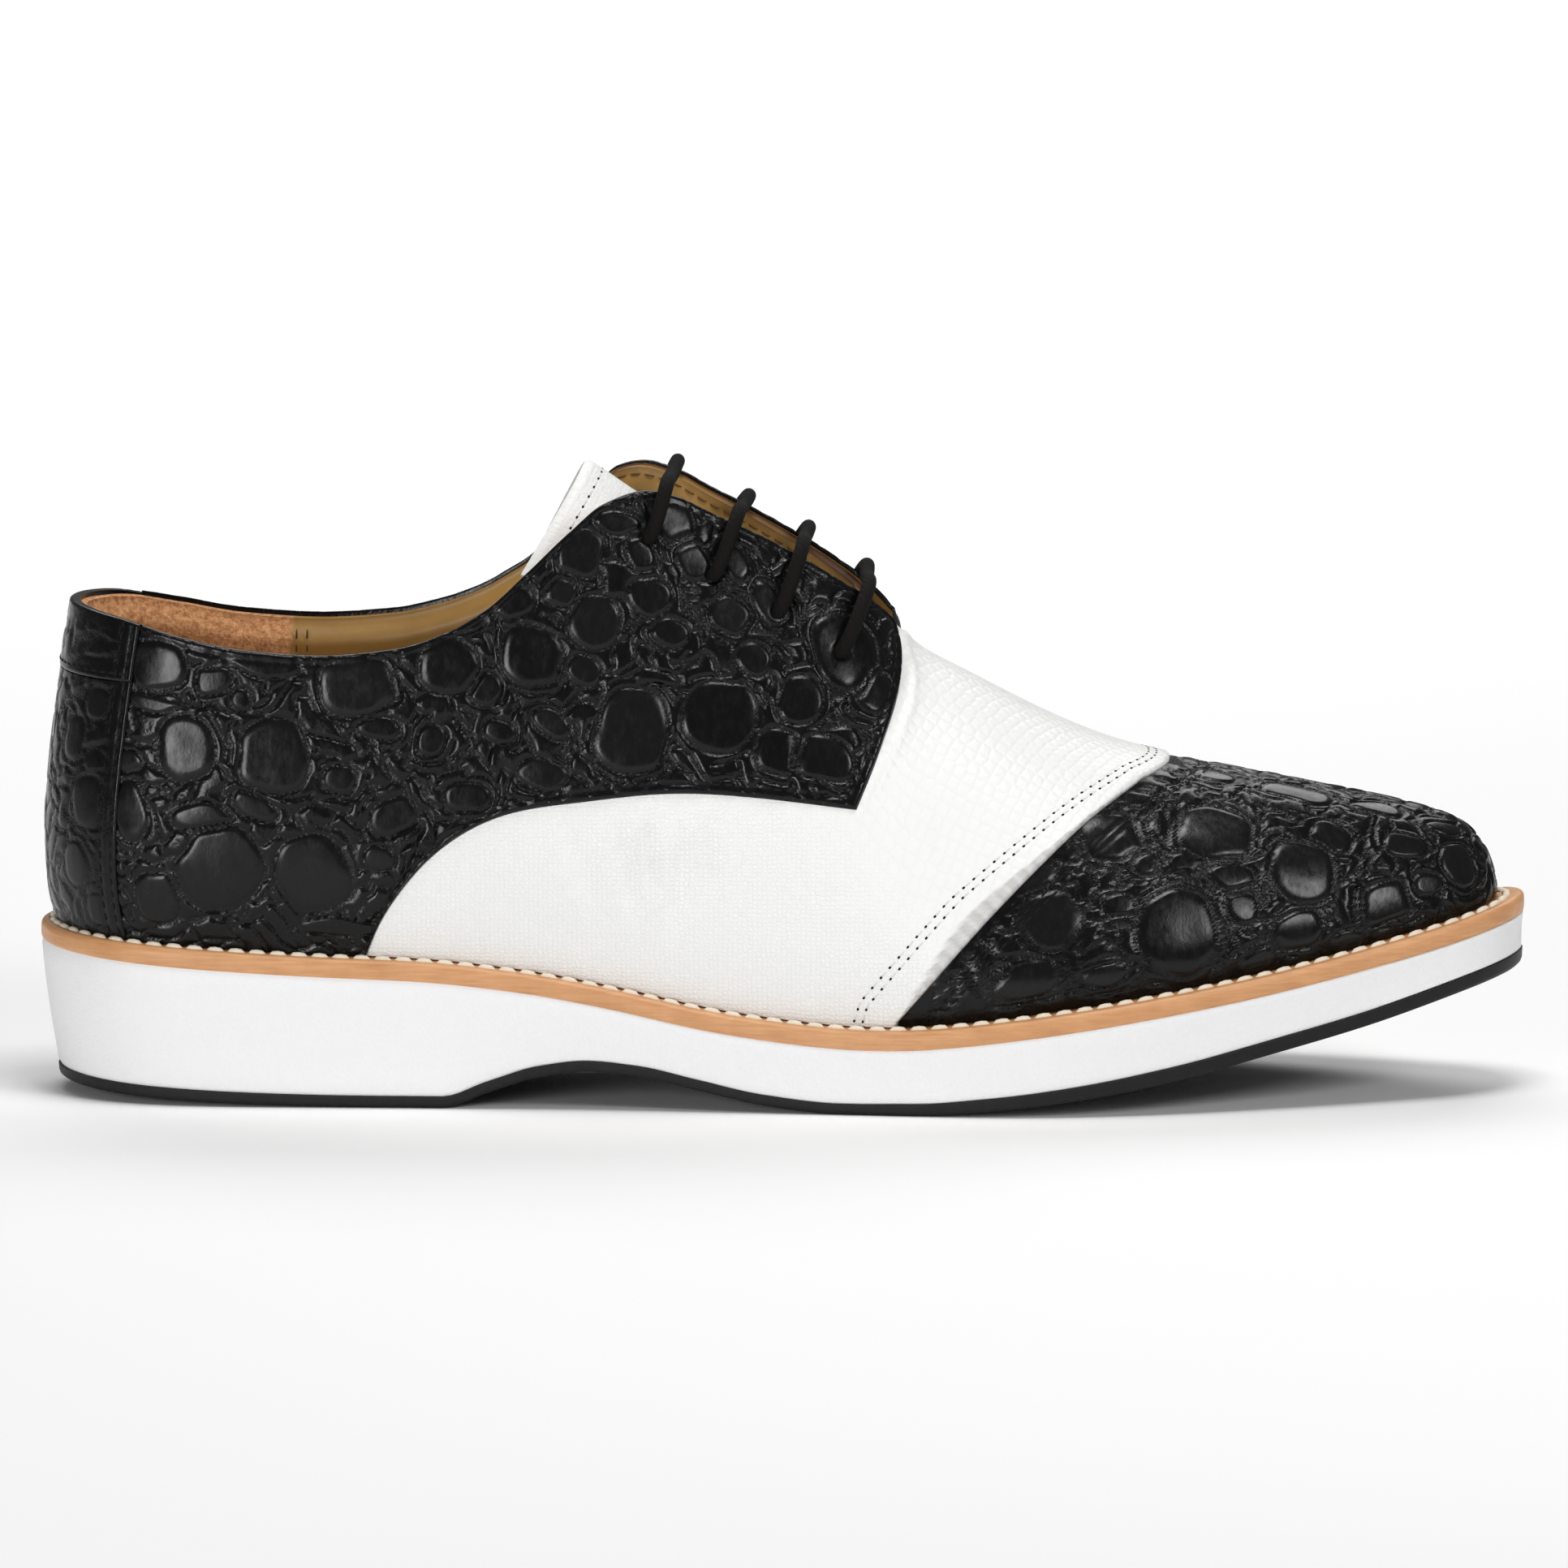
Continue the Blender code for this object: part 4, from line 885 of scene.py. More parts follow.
# Large plates seen on the lateral quarter
QUARTER_SCALES = rows_of(
    "x z width height tilt",
    (-128.5, 91.0, 11.0, 9.5, 0), (-117.0, 88.0, 6.7, 5.0, 0), (-128.5, 83.5, 10.5, 4.0, 0),
    (-111.0, 84.0, 4.8, 3.8, 0), (-107.0, 92.0, 14.0, 5.5, -8), (-87.5, 87.0, 14.3, 12.0, 5),
    (-69.0, 91.0, 11.5, 10.5, 0), (-51.5, 93.5, 11.5, 11.0, 10), (-38.5, 100.0, 9.5, 10.5, 0),
    (-41.5, 114.0, 8.5, 9.5, 20), (-27.5, 105.0, 8.2, 7.2, 0), (-23.5, 121.0, 11.5, 8.0, -25),
    (-19.0, 111.5, 7.7, 5.7, -20), (-29.5, 113.0, 6.7, 5.7, 0), (-55.0, 104.0, 8.7, 6.5, 35),
    (-122.5, 74.0, 11.0, 13.0, 10), (-104.5, 73.0, 13.5, 14.5, 5), (-133.5, 61.5, 6.5, 13.0, 5),
    (-134.0, 71.0, 6.5, 3.4, 0), (-119.5, 60.5, 11.5, 5.0, 12), (-108.5, 62.5, 9.5, 4.8, -20),
    (-115.5, 49.5, 17.0, 15.5, 30), (-96.5, 49.0, 14.0, 15.0, 20), (-128.0, 43.5, 8.7, 10.5, 0),
    (-80.0, 60.5, 8.7, 6.7, 20), (-83.0, 52.0, 6.7, 5.7, 0), (-64.5, 64.5, 8.7, 6.0, 15),
    (-49.0, 69.5, 9.5, 6.0, 10), (-31.0, 78.0, 13.0, 16.0, 20), (-13.0, 80.5, 14.3, 14.0, 25),
    (-91.0, 68.0, 6.7, 5.7, 0), (-72.5, 76.0, 5.7, 5.7, 0), (-83.5, 78.5, 8.7, 3.8, 0),
    (-11.0, 100.5, 7.7, 6.7, 0), (-23.0, 97.5, 6.0, 6.0, 0), (-61.0, 86.5, 5.7, 6.7, 0),
    (-41.0, 90.5, 6.7, 6.0, 0), (-91.0, 38.0, 15.0, 3.8, 0), (-47.5, 79.5, 7.7, 4.8, 0),
    (-58.5, 78.0, 6.7, 4.8, 0), (12.5, 92.5, 15.5, 12.5, -35), (3.5, 83.5, 8.0, 9.3, 15),
    (8.5, 72.0, 11.5, 8.3, 10), (18.5, 84.5, 7.0, 9.0, 0), (-3.0, 102.5, 9.5, 6.0, -25),
    (-10.0, 110.0, 7.7, 5.0, -25), (-6.0, 92.0, 7.3, 6.7, 0), (-1.0, 73.5, 8.3, 8.3, 0),
    (-66.0, 99.5, 8.3, 4.0, 20), (-45.5, 106.0, 6.0, 6.7, 0), (-34.0, 119.5, 8.3, 5.0, 25),
)

# Large plates seen on the lateral side of the toe
TOE_SCALES = rows_of(
    "x z width height tilt",
    (88.5, 56.5, 14.0, 11.5, -10), (107.0, 48.0, 12.2, 13.0, 0), (81.0, 37.5, 16.0, 16.5, 5),
    (55.0, 40.5, 12.2, 11.5, 30), (67.5, 56.0, 11.5, 10.0, 25), (106.0, 62.0, 14.0, 7.5, -5),
    (88.5, 65.5, 8.0, 6.0, 0), (112.5, 54.5, 9.2, 6.8, -15), (106.0, 36.8, 11.5, 6.8, 10),
    (124.0, 41.0, 10.7, 8.3, 5), (127.5, 52.0, 9.2, 6.2, -10), (139.0, 47.5, 9.0, 9.0, 0),
    (92.5, 47.5, 9.2, 5.3, -20), (94.5, 42.0, 6.2, 6.8, 0), (50.5, 28.0, 13.8, 6.2, 15),
    (66.5, 29.0, 9.2, 4.7, 5), (51.5, 49.0, 10.0, 6.2, 35), (58.0, 53.0, 4.7, 4.7, 0),
    (122.5, 58.5, 10.0, 5.5, 0), (72.5, 62.5, 7.7, 4.3, 20), (97.5, 30.5, 8.3, 4.3, 10),
    (116.0, 33.5, 7.7, 4.7, 10), (74.5, 51.0, 5.0, 4.3, 0), (69.5, 43.0, 6.0, 5.0, 0),
    (132.5, 44.5, 6.0, 4.3, 0), (136.0, 54.5, 7.7, 4.5, 0),
)

# Plates of the strip up the back of the heel
STRIP_SCALES = rows_of(
    "x z width height tilt",
    (-144.0, 74.5, 7.0, 9.0, 0), (-142.0, 62.0, 8.0, 10.0, 0), (-144.0, 49.0, 8.0, 8.0, 0),
    (-139.5, 82.0, 6.0, 6.0, 0), (-139.0, 40.0, 7.0, 7.0, 0),
)


def charted(scales, side, shift=(0.0, 0.0)):
    """Seeds for plates charted on one side of the shoe."""
    x, z = column(scales, "x") + shift[0], column(scales, "z") + shift[1]
    angle, girth = side_spot(x, z, side)
    small = 1e-3
    along = unit(lasted(angle + small, girth) - lasted(angle - small, girth))
    up = -side * np.cross(outward(angle, girth), along)
    tilt = np.radians(column(scales, "tilt"))[:, None]
    across = along * np.cos(tilt) + up * np.sin(tilt)
    rise = up * np.cos(tilt) - along * np.sin(tilt)
    square = np.random.default_rng(3).uniform(0.7, 1.8, len(x))
    long, tall = PLATE_GROWTH * column(scales, "width") / 2, PLATE_GROWTH * column(scales, "height") / 2
    return Seeds(lasted(angle, girth), across, rise, long, tall, square)


def joined(*groups):
    return Seeds(*(np.concatenate(parts) for parts in zip(*groups)))


def nearest_two(points, seeds):
    """Signed distance to the nearest and second nearest plate, and which is nearest."""
    flat = points.reshape(-1, 3)
    first, second = np.full(len(flat), FAR), np.full(len(flat), FAR)
    owner = np.zeros(len(flat), int)
    chunk = 2000
    for start in range(0, len(flat), chunk):
        here = slice(start, start + chunk)
        part = flat[here]
        low, high = part.min(0) - PLATE_REACH, part.max(0) + PLATE_REACH
        near = np.flatnonzero(np.all((seeds.centre > low) & (seeds.centre < high), axis=1))
        if len(near) < 2:
            continue
        centre, across, up, long, tall, square = (values[near] for values in seeds)
        u = ((part @ across.T - (centre * across).sum(1)) / long) ** 2
        v = ((part @ up.T - (centre * up).sum(1)) / tall) ** 2
        through = np.cross(across, up)
        aside = np.abs(part @ through.T - (centre * through).sum(1))
        radius = np.sqrt(np.sqrt(u * u + v * v + square * u * v))
        gap = (radius - 1) * np.sqrt(long * tall) + np.maximum(aside - PLATE_DEPTH, 0) * PLATE_FADE
        order = np.argpartition(gap, 1, axis=1)[:, :2]
        two = np.take_along_axis(gap, order, axis=1)
        swap = two[:, 0] > two[:, 1]
        first[here], second[here] = two.min(axis=1), two.max(axis=1)
        owner[here] = near[np.where(swap, order[:, 1], order[:, 0])]
    shape = points.shape[:-1]
    return first.reshape(shape), second.reshape(shape), owner.reshape(shape)


def scattered(points, normals, plates, seed, low, high, tries=7000):
    """Small scales packed between the plates, long round the nearest plate."""
    from_plate, packing, wander = 0.45, 0.86, 0.35
    rng = np.random.default_rng(seed)
    flat, ways = points.reshape(-1, 3), normals.reshape(-1, 3)
    pick = rng.integers(0, len(flat), tries)
    flat, ways = flat[pick], ways[pick]
    clear, _, owner = nearest_two(flat, plates)
    radius = low + (high - low) * rng.random(tries) ** 2
    order = np.argsort(-radius)
    kept, room = np.zeros((0, 3)), np.zeros(0)
    chosen = []
    for k in order:
        if clear[k] < from_plate * radius[k]:
            continue
        if len(kept) and (np.linalg.norm(kept - flat[k], axis=1) < packing * (room + radius[k])).any():
            continue
        chosen.append(k)
        kept = np.vstack([kept, flat[k]])
        room = np.append(room, radius[k])
    chosen = np.array(chosen)
    out = flat[chosen] - plates.centre[owner[chosen]]
    across = np.cross(ways[chosen], out)
    across += rng.normal(size=across.shape) * wander * np.linalg.norm(across, axis=1, keepdims=True)
    across -= ways[chosen] * (across * ways[chosen]).sum(1, keepdims=True)
    across = unit(across)
    stretch = rng.uniform(1.3, 2.3, len(chosen))
    return Seeds(
        flat[chosen], across, np.cross(ways[chosen], across),
        radius[chosen] * stretch, radius[chosen] / stretch, rng.uniform(1.0, 2.0, len(chosen)),
    )


def rounded(away, width):
    """Profile of a scale: 0 at its border, 1 from that width inwards."""
    return 1 - (1 - np.clip(away / width, 0, 1)) ** 2


def shaken_by(points, length, amount, seed):
    return points + amount * np.stack([waves(points, length, seed + k) for k in range(3)], axis=-1)


def embossing(points, normals, plates, seed, low=1.1, high=3.2):
    """Height, plate mask, groove mask and tone of the scales at each point."""
    shaken = shaken_by(points, 9.0, 0.45, seed)
    first, second, owner = nearest_two(shaken, plates)
    gap = np.maximum(first, PLATE_GROOVE - (second - first) / 2)
    size = np.sqrt(plates.long * plates.tall)[owner]
    large = PLATE_RISE * rounded(-gap, np.clip(0.3 * size, 1.0, 1.9)) + 0.012 * size * rounded(-gap, size)
    small = scattered(points, normals, plates, seed, low, high)
    first, second, fill = nearest_two(shaken_by(shaken, 3.5, 0.2, seed + 5), small)
    width = np.sqrt(small.long * small.tall)[fill]
    ring_width = FOLD_PITCH + 0.5 * waves(points, 6.0, seed + 12)
    ringed = waves(points, 8.0, seed + 13) > 0.0
    cell_edge = np.minimum((second - first) / 2, np.where(ringed, gap - ring_width, gap))
    in_ring = ringed & (gap < ring_width)
    edge = np.where(in_ring, np.minimum(gap, ring_width - gap), cell_edge)
    dome = np.where(in_ring, RING_RISE, FILL_RISE + 0.12 * width)
    fold = dome * rounded(edge, np.where(in_ring, 0.7, np.clip(0.75 * width, 0.7, 1.5)))
    height = np.where(gap < 0, large, fold) + 0.05 * waves(points, 8.0, seed + 9)
    border = np.where(gap < 0, -gap, edge)
    groove = bump_at(border, 0, GROOVE_WIDTH)
    plate = np.where(gap < 0, smooth_step(0.2, 1.2, border), 0.0)
    tone = np.random.default_rng(seed).random(len(plates.long))[owner]
    return height - GROOVE_DEPTH * groove, plate, groove, tone


# Stitches

# Looks of the threads, and the rows of stitches sewn with them.
# The small black pieces at the ends of the white vamp stitches are painted shade in the needle holes, not
# thread.
THREAD_LOOKS = rows_of(
    "name dark light roughness",
    ("black_thread", (0.003, 0.003, 0.003), (0.007, 0.007, 0.007), 0.7),
    ("white_thread", (0.60, 0.60, 0.59), (0.78, 0.78, 0.77), 0.6),
    ("cream_thread", (0.72, 0.62, 0.48), (0.88, 0.80, 0.66), 0.6),
    ("brown_thread", (0.10, 0.045, 0.012), (0.20, 0.10, 0.03), 0.6),
)
THREADS = rows_of(
    "name look pitch length width height dip",
    ("black_stitches", "black_thread", 2.6, 2.0, 0.55, 0.45, 0.3),
    ("vamp_thread", "white_thread", 2.8, 2.3, 0.38, 0.3, 0.2),
    ("vamp_holes", "black_thread", 2.8, 0.75, 0.5, 0.3, 0.0),
    ("lining_stitches", "brown_thread", 3.0, 2.2, 0.4, 0.34, 0.3),
    ("welt_stitches", "cream_thread", 4.3, 3.8, 1.7, 1.5, 0.5),
)
# Furrows pressed into the leather by stitches and holes
Furrow = namedtuple("Furrow", "depth width")
SEWN_FURROW = Furrow(0.16, 0.45)
COLLAR_FURROW = STRIP_FURROW = Furrow(0.25, 0.5)
TOE_FURROW = Furrow(0.22, 0.45)
VAMP_FURROW = Furrow(0.1, 0.35)
HOLE_FURROW = TONGUE_FURROW = Furrow(0.12, 0.4)


def pressed(away, at, furrow):
    """Depth of a furrow that runs at one distance from a border."""
    return furrow.depth * bump_at(away, at, furrow.width)


def points_at(along, run, line):
    """Points at some distances along a line."""
    return np.stack([np.interp(along, run, line[:, k]) for k in range(3)], axis=-1)


def stitches(thread, rows, material, sides=8):
    """One mesh of thread stitches along rows of (points, normals); also the black pieces of painted
    needle-hole shade.
    """
    spots = np.array([0.0, 0.06, 0.2, 0.5, 0.8, 0.94, 1.0])
    swell = np.array([0.25, 0.6, 0.9, 1.0, 0.9, 0.6, 0.25])
    sink = thread.dip * (2 * spots - 1) ** 4
    turns = around(sides)
    bodies = []
    for path, normals in rows:
        run = run_along(path)
        for begin in np.arange(0.4 * thread.pitch, run[-1] - thread.length, thread.pitch):
            along = begin + thread.length * spots
            middle, up = points_at(along, run, path), unit(points_at(along, run, normals))
            across = unit(np.cross(np.gradient(middle, axis=0), up))
            middle = middle - up * sink[:, None]
            ring = across[:, None] * (np.cos(turns) * thread.width / 2)[None, :, None]
            ring = ring + up[:, None] * (np.sin(turns) * thread.height / 2)[None, :, None]
            bodies.append(lofted(middle[:, None] + ring * swell[:, None, None]))
    return finish_mesh(thread.name, *gathered(bodies), material, sharp=SHARP_THREAD)


def row_at(points, normals, away, axis, value, keep=None):
    """Line across a grid where the distance from a border has a given value."""
    keep = np.full(away.shape, True) if keep is None else keep
    if axis == 0:
        points, normals, away, keep = (np.swapaxes(grid, 0, 1) for grid in (points, normals, away, keep))
    path, ways = [], []
    for line, way, far, ok in zip(points, normals, away, keep):
        order = np.argsort(far)
        k = int(np.searchsorted(far[order], value))
        if k == 0 or k >= len(far) or not ok[order[k]]:
            continue
        a, b = order[k - 1], order[k]
        share = (value - far[a]) / (far[b] - far[a])
        path.append(line[a] + (line[b] - line[a]) * share)
        ways.append(way[a] + (way[b] - way[a]) * share)
    return np.array(path), np.array(ways)


# Eyelets

# The leather closes round the lace
HOLE_DIAMETER = 3.2


def eyelet_spots():
    """(side, row, angle, girth) of each eyelet."""
    spots = []
    for side in (LATERAL, MEDIAL):
        for row, eyelet in enumerate(EYELETS):
            x = eyelet.x if side == LATERAL else EYELETS[2].x + MEDIAL_PITCH * (eyelet.x - EYELETS[2].x)
            z = eyelet.z if side == LATERAL else EYELETS[2].z + MEDIAL_PITCH * (eyelet.z - EYELETS[2].z)
            angle, girth = side_spot(x, z + side_rise(x, side), side)
            spots.append((side, row, float(angle), float(girth)))
    return spots


def build_punches():
    """Cutter for the lace holes, one mesh of eight rods."""
    half_length, turns = 9.0, around(28)
    rods = []
    for _, _, angle, girth in EYELET_SPOTS:
        centre, normal = surface(angle, girth)
        flat = unit(np.cross(normal, [0.0, 1.0, 0.0]))
        ring = np.cos(turns)[:, None] * flat + np.sin(turns)[:, None] * np.cross(normal, flat)
        ring = centre + HOLE_DIAMETER / 2 * ring
        rods.append(lofted([ring - half_length * normal, ring + half_length * normal]))
    return gathered(rods)


def punch(obj):
    """Cuts the lace holes through a panel for good."""
    mesh = bpy.data.meshes.new("punches")
    points, faces = build_punches()
    mesh.from_pydata((points * MM).tolist(), [], faces)
    cutter = placed("punches", mesh)
    work = bmesh.new()
    work.from_mesh(mesh)
    bmesh.ops.recalc_face_normals(work, faces=work.faces)
    work.to_mesh(mesh)
    work.free()
    modifier = obj.modifiers.new("holes", "BOOLEAN")
    modifier.operation = "DIFFERENCE"
    modifier.solver = "MANIFOLD"
    modifier.object = cutter
    graph = bpy.context.evaluated_depsgraph_get()
    cut = bpy.data.meshes.new_from_object(obj.evaluated_get(graph))
    obj.modifiers.clear()
    obj.data = cut
    cut.name = obj.name
    cut.set_sharp_from_angle(angle=math.radians(SHARP))
    bpy.data.objects.remove(cutter)


# Quarters

# Share of the quarter's foot that stands on the welt, and from where its columns bow to the facing's front
WELT_SHARE = 0.35
BOW_START = 0.6
FINE_STEP = {LATERAL: 0.37, MEDIAL: 0.5}
EDGE_THIN, THIN_FROM_TOP = 2.0, (0.5, 4.5)
EDGE_ROLL = 0.9
STITCH_IN = 2.0
COLLAR_ROW, COLLAR_ROW_END_X = 13.0, -106.0
FACING_BACK_X = -46.0
# Rough lengths of the pieces' sides, which set how many points they get
WELT_LENGTH, FOOT_LENGTH, QUARTER_RISE, FRONT_LENGTH = 50.0, 125.0, 62.0, 30.0
TOE_SEAM_LENGTH, TOE_LENGTH, VAMP_LENGTH = 70.0, 80.0, 70.0
STRIP_WIDTH, STRIP_HEIGHT, TAB_HEIGHT = 50.0, 60.0, 14.0
# Slit between two pieces that meet edge to edge, as an angle
HAIR = 0.001


def calmed(away, start, end):
    """Share of the relief that is left near an edge."""
    return EDGE_RELIEF + (1 - EDGE_RELIEF) * smooth_step(start, end, away)


def facing_lift(xs, share):
    """The facing's edge stands off the tongue, most at its front end."""
    along = np.clip((xs - FACING_LIFT_X) / FACING_LIFT_RUN, 0, 1)
    return FACING_LIFT * along * np.clip((share - FACING_LIFT_START) / (1 - FACING_LIFT_START), 0, 1) ** 2


def thinned(to_top):
    """How far the underside of a panel rises towards its top edge, where the lining comes up behind it."""
    return EDGE_THIN * (1 - smooth_step(*THIN_FROM_TOP, to_top))


def along_top(side, shares):
    """Points along the top line, from the back strip to the facing's front."""
    xs = np.linspace(STRIP_EDGE_X, FACING_FRONT[-1].x, 2000)
    zs = top_line(xs) + side_rise(xs, side)
    run = flat_run(xs, zs)
    return np.interp(shares * run[-1], run, xs), np.interp(shares * run[-1], run, zs)


def strip_edge():
    """Angle of the back strip's edge."""
    return float(side_spot(STRIP_EDGE_X, 60.0, LATERAL)[0])


def quarter_spots(side):
    """Fine grid over a quarter: angle, girth, facing lift, and which of its columns stand on the welt."""
    welt_share = spaced(WELT_LENGTH, FINE_STEP[side])
    foot_share = spaced(FOOT_LENGTH, FINE_STEP[side], high=True)
    rise = spaced(QUARTER_RISE, FINE_STEP[side], low=True, high=True)
    front_x, front_z = drawn(FACING_FRONT, np.linspace(0, 1, 200))
    welt_x = STRIP_EDGE_X + (QUARTER_FOOT[0].x - STRIP_EDGE_X) * welt_share
    line_x, line_z = drawn(QUARTER_FOOT, foot_share)
    foot_x, foot_z = np.append(welt_x, line_x[1:]), np.append(feather_z(welt_x), line_z[1:])
    share = np.append(WELT_SHARE * welt_share, WELT_SHARE + (1 - WELT_SHARE) * foot_share[1:])
    head_x, head_z = along_top(side, share)
    xs = foot_x[:, None] + (head_x - foot_x)[:, None] * rise
    zs = foot_z[:, None] + (head_z - foot_z)[:, None] * rise
    bow = np.clip((share - BOW_START) / (1 - BOW_START), 0, 1)[:, None] ** 2
    xs = xs + bow * (np.interp(zs[-1], front_z, front_x) - xs[-1])
    angle, girth = side_spot(xs, zs, side)
    on_welt = share <= WELT_SHARE
    girth[on_welt, 0] = welt_girth(side)
    near_strip = np.clip(1 - share / WELT_SHARE, 0, 1)[:, None] ** 2
    angle = angle + (strip_edge() + HAIR - angle[0]) * near_strip
    foot, head = girth[:, 0], top_girth(angle[:, -1], side)
    stretch = np.where(near_strip[:, 0] > 0, (head - foot) / (girth[:, -1] - foot), 1.0)
    girth = foot[:, None] + (girth - foot[:, None]) * stretch[:, None]
    return angle, girth, facing_lift(xs, rise), on_welt


def build_quarter(name, side, plates, seed, material, lining):
    angle, girth, lift, on_welt = quarter_spots(side)
    base, normal = surface(angle, girth)
    to_top, to_front = reach(base, 1, backward=True), reach(base, 0, backward=True)
    to_foot = np.where(on_welt[:, None], FAR, reach(base, 1))
    edge = np.minimum(np.minimum(to_top, to_front), to_foot)
    height, plate, groove, tone = embossing(base, normal, plates, seed)
    calm = calmed(edge, 0.8, 4.0)
    on_facing, on_collar = base[..., 0] > FACING_BACK_X, base[..., 0] < COLLAR_ROW_END_X
    level = QUARTER_LEVEL + lift + rolled(edge, EDGE_ROLL) + (height - RELIEF_MIDDLE) * calm
    level -= pressed(edge, STITCH_IN, SEWN_FURROW)
    level -= pressed(to_top, COLLAR_ROW, COLLAR_FURROW) * on_collar
    for at_side, _, eye_angle, eye_girth in EYELET_SPOTS:
        if at_side == side:
            away = np.linalg.norm(base - lasted(eye_angle, eye_girth), axis=-1)
            level -= pressed(np.maximum(away - HOLE_DIAMETER / 2, 0), 0, HOLE_FURROW)
    outer, inner = skin(angle, girth, level, SKIN_FLOOR + lift + thinned(to_top))
    attributes = {"plate": plate * smooth_step(0.5, 3.0, edge), "groove": groove * calm, "tone": tone}
    quarter = panel(name + "_skin", outer, inner, material, attributes, backing=(lining, FACING_BACK_X))
    punch(quarter)
    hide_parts(name)
    behind_front = to_front > STITCH_IN
    return [
        row_at(outer, normal, to_top, 1, STITCH_IN, behind_front & on_facing),
        row_at(outer, normal, to_front, 0, STITCH_IN, edge > STITCH_IN - 0.6),
        row_at(outer, normal, to_top, 1, COLLAR_ROW, on_collar),
        row_at(outer, normal, to_foot, 1, STITCH_IN, behind_front),
        row_at(outer, normal, to_foot, 1, 2.2 * STITCH_IN, behind_front),
    ]


# Toe cap and vamp


def round_to_crest(angle, girth, crest, count):
    """Carries a line of spots on to the crest, meeting it square."""
    end = math.pi / 2
    share = np.linspace(1, 0, count + 1)[1:]
    angles = crest + (angle[-1] - crest) * share**2
    return np.append(angle, angles), np.append(girth, end + (girth[-1] - end) * share)


def over_crest(halves):
    """Lateral rows from the welt up to the crest, continued down the medial side."""
    lateral, medial = halves
    return [np.concatenate([a, b[..., -2::-1]], axis=-1) for a, b in zip(lateral, medial)]


def seam_spots(side, shares, crest_count, aside):
    """Toe seam from the welt up to the crest."""
    angle, girth = side_spot(*drawn(TOE_SEAM, shares, aside), side)
    girth[0] = welt_girth(side)
    return round_to_crest(angle, girth, float(crest_angle(TOE_SEAM_CREST_X + aside)), crest_count)


# Stitch rows on the toe cap, from its seam
TOE_ROWS = (6.0, 8.0)


def build_toe_cap(plates, material):
    crest_count = 48
    shares = spaced(TOE_SEAM_LENGTH, 0.5)
    across = spaced(TOE_LENGTH, 0.4)[:, None]
    halves = []
    for side in (LATERAL, MEDIAL):
        angle, girth = seam_spots(side, shares, crest_count, SEAM_SLIT)
        even = np.linspace(girth[0], math.pi / 2, len(girth))
        halves.append((angle + (math.pi - angle) * across, girth + (even - girth) * across))
    angle, girth = over_crest(halves)
    base, normal = surface(angle, girth)
    to_seam = reach(base, 0)
    height, plate, groove, tone = embossing(base, normal, plates, 41)
    calm = calmed(to_seam, 0.5, 2.5)
    level = TOE_LEVEL + (height - RELIEF_MIDDLE) * calm
    for offset in TOE_ROWS:
        level -= pressed(to_seam, offset, TOE_FURROW)
    outer, inner = skin(angle, girth, level, SKIN_FLOOR)
    attributes = {"plate": plate, "groove": groove * calm, "tone": tone}
    cap = panel("toe_cap_skin", outer, inner, material, attributes, open_end=False)
    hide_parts("toe_cap")
    return [row_at(outer, normal, to_seam, 0, offset) for offset in TOE_ROWS]


# Creases over the arch, from their upper to their lower ends
CREASES = rows_of(
    "x0 z0 x1 z1 depth width",
    (-34.0, 60.0, -31.0, 40.0, 0.58, 1.6), (-28.0, 61.0, -26.5, 45.0, 0.60, 1.3),
    (-21.0, 58.0, -23.0, 36.0, 0.60, 1.8), (-16.0, 61.0, -14.0, 44.0, 0.50, 1.4),
    (-43.0, 58.0, -40.0, 42.0, 0.45, 2.0), (-6.0, 57.0, -9.0, 38.0, 0.26, 2.0),
)
# Ridge beside each crease: its height and its place, as shares of the crease's depth and width
CREASE_RIDGE, CREASE_RIDGE_AT = 0.7, 1.9
# Ridge in front of the facings: its distance from them below and above
RIDGE_LOW, RIDGE_HIGH = 1.7, 4.4
RIDGE_RISE, RIDGE_WIDTH, HOLLOW_DEPTH = 0.45, 0.9, 0.3
# The vamp's edge along the toe seam: its roll, and the swell behind it, which is less higher up
VAMP_ROLL = 1.2
SWELL, SWELL_LESS, SWELL_WIDTH, SWELL_Z = 0.45, 0.25, 6.0, (50, 68)
# The grain turns from fine to tiled from here on, forwards and upwards
FINE_X, FINE_RUN_X, FINE_Z, FINE_RUN_Z = 8, 25, 48, 30
# Grey band along the toe seam (the cut edge, partly painted shade of its roll), and the pair of stitch rows
# behind it
RIM_WIDTH = 3.8
RIM_MIDDLE_Z, RIM_SPAN = 40.0, 14.0
ROW_FAR, ROW_FAR_Z = 7.0, 44.0
ROW_NEAR, ROW_NEAR_Z = 3.0, 68.0
ROW_PAIR = (0.0, 1.65)
WEAVE_TURN = math.radians(18)
WEAVE_GIRTH = 68.0


def creased(base):
    """Level change of the soft creases over the arch, on both sides."""
    x, z = base[..., 0], base[..., 2]
    level = np.zeros_like(x)
    for crease in CREASES:
        run_x, run_z = crease.x1 - crease.x0, crease.z1 - crease.z0
        length = math.hypot(run_x, run_z)
        along = ((x - crease.x0) * run_x + (z - crease.z0) * run_z) / length**2
        away = ((x - crease.x0) * run_z - (z - crease.z0) * run_x) / length
        fade = smooth_step(-0.15, 0.3, along) * (1 - smooth_step(0.6, 1.15, along))
        trough, ridge = (bump_at(away, at * crease.width, crease.width) for at in (0, CREASE_RIDGE_AT))
        level -= crease.depth * fade * (trough - CREASE_RIDGE * ridge)
    return level


def lengthened(line, more):
    """A line carried on straight at both ends."""
    share = np.linspace(1, 0, 30)[:-1, None] * more
    start, end = line[0] - line[4], line[-1] - line[-5]
    before = line[0] + share * start / np.linalg.norm(start)
    after = line[-1] + share[::-1] * end / np.linalg.norm(end)
    return np.concatenate([before, line, after])


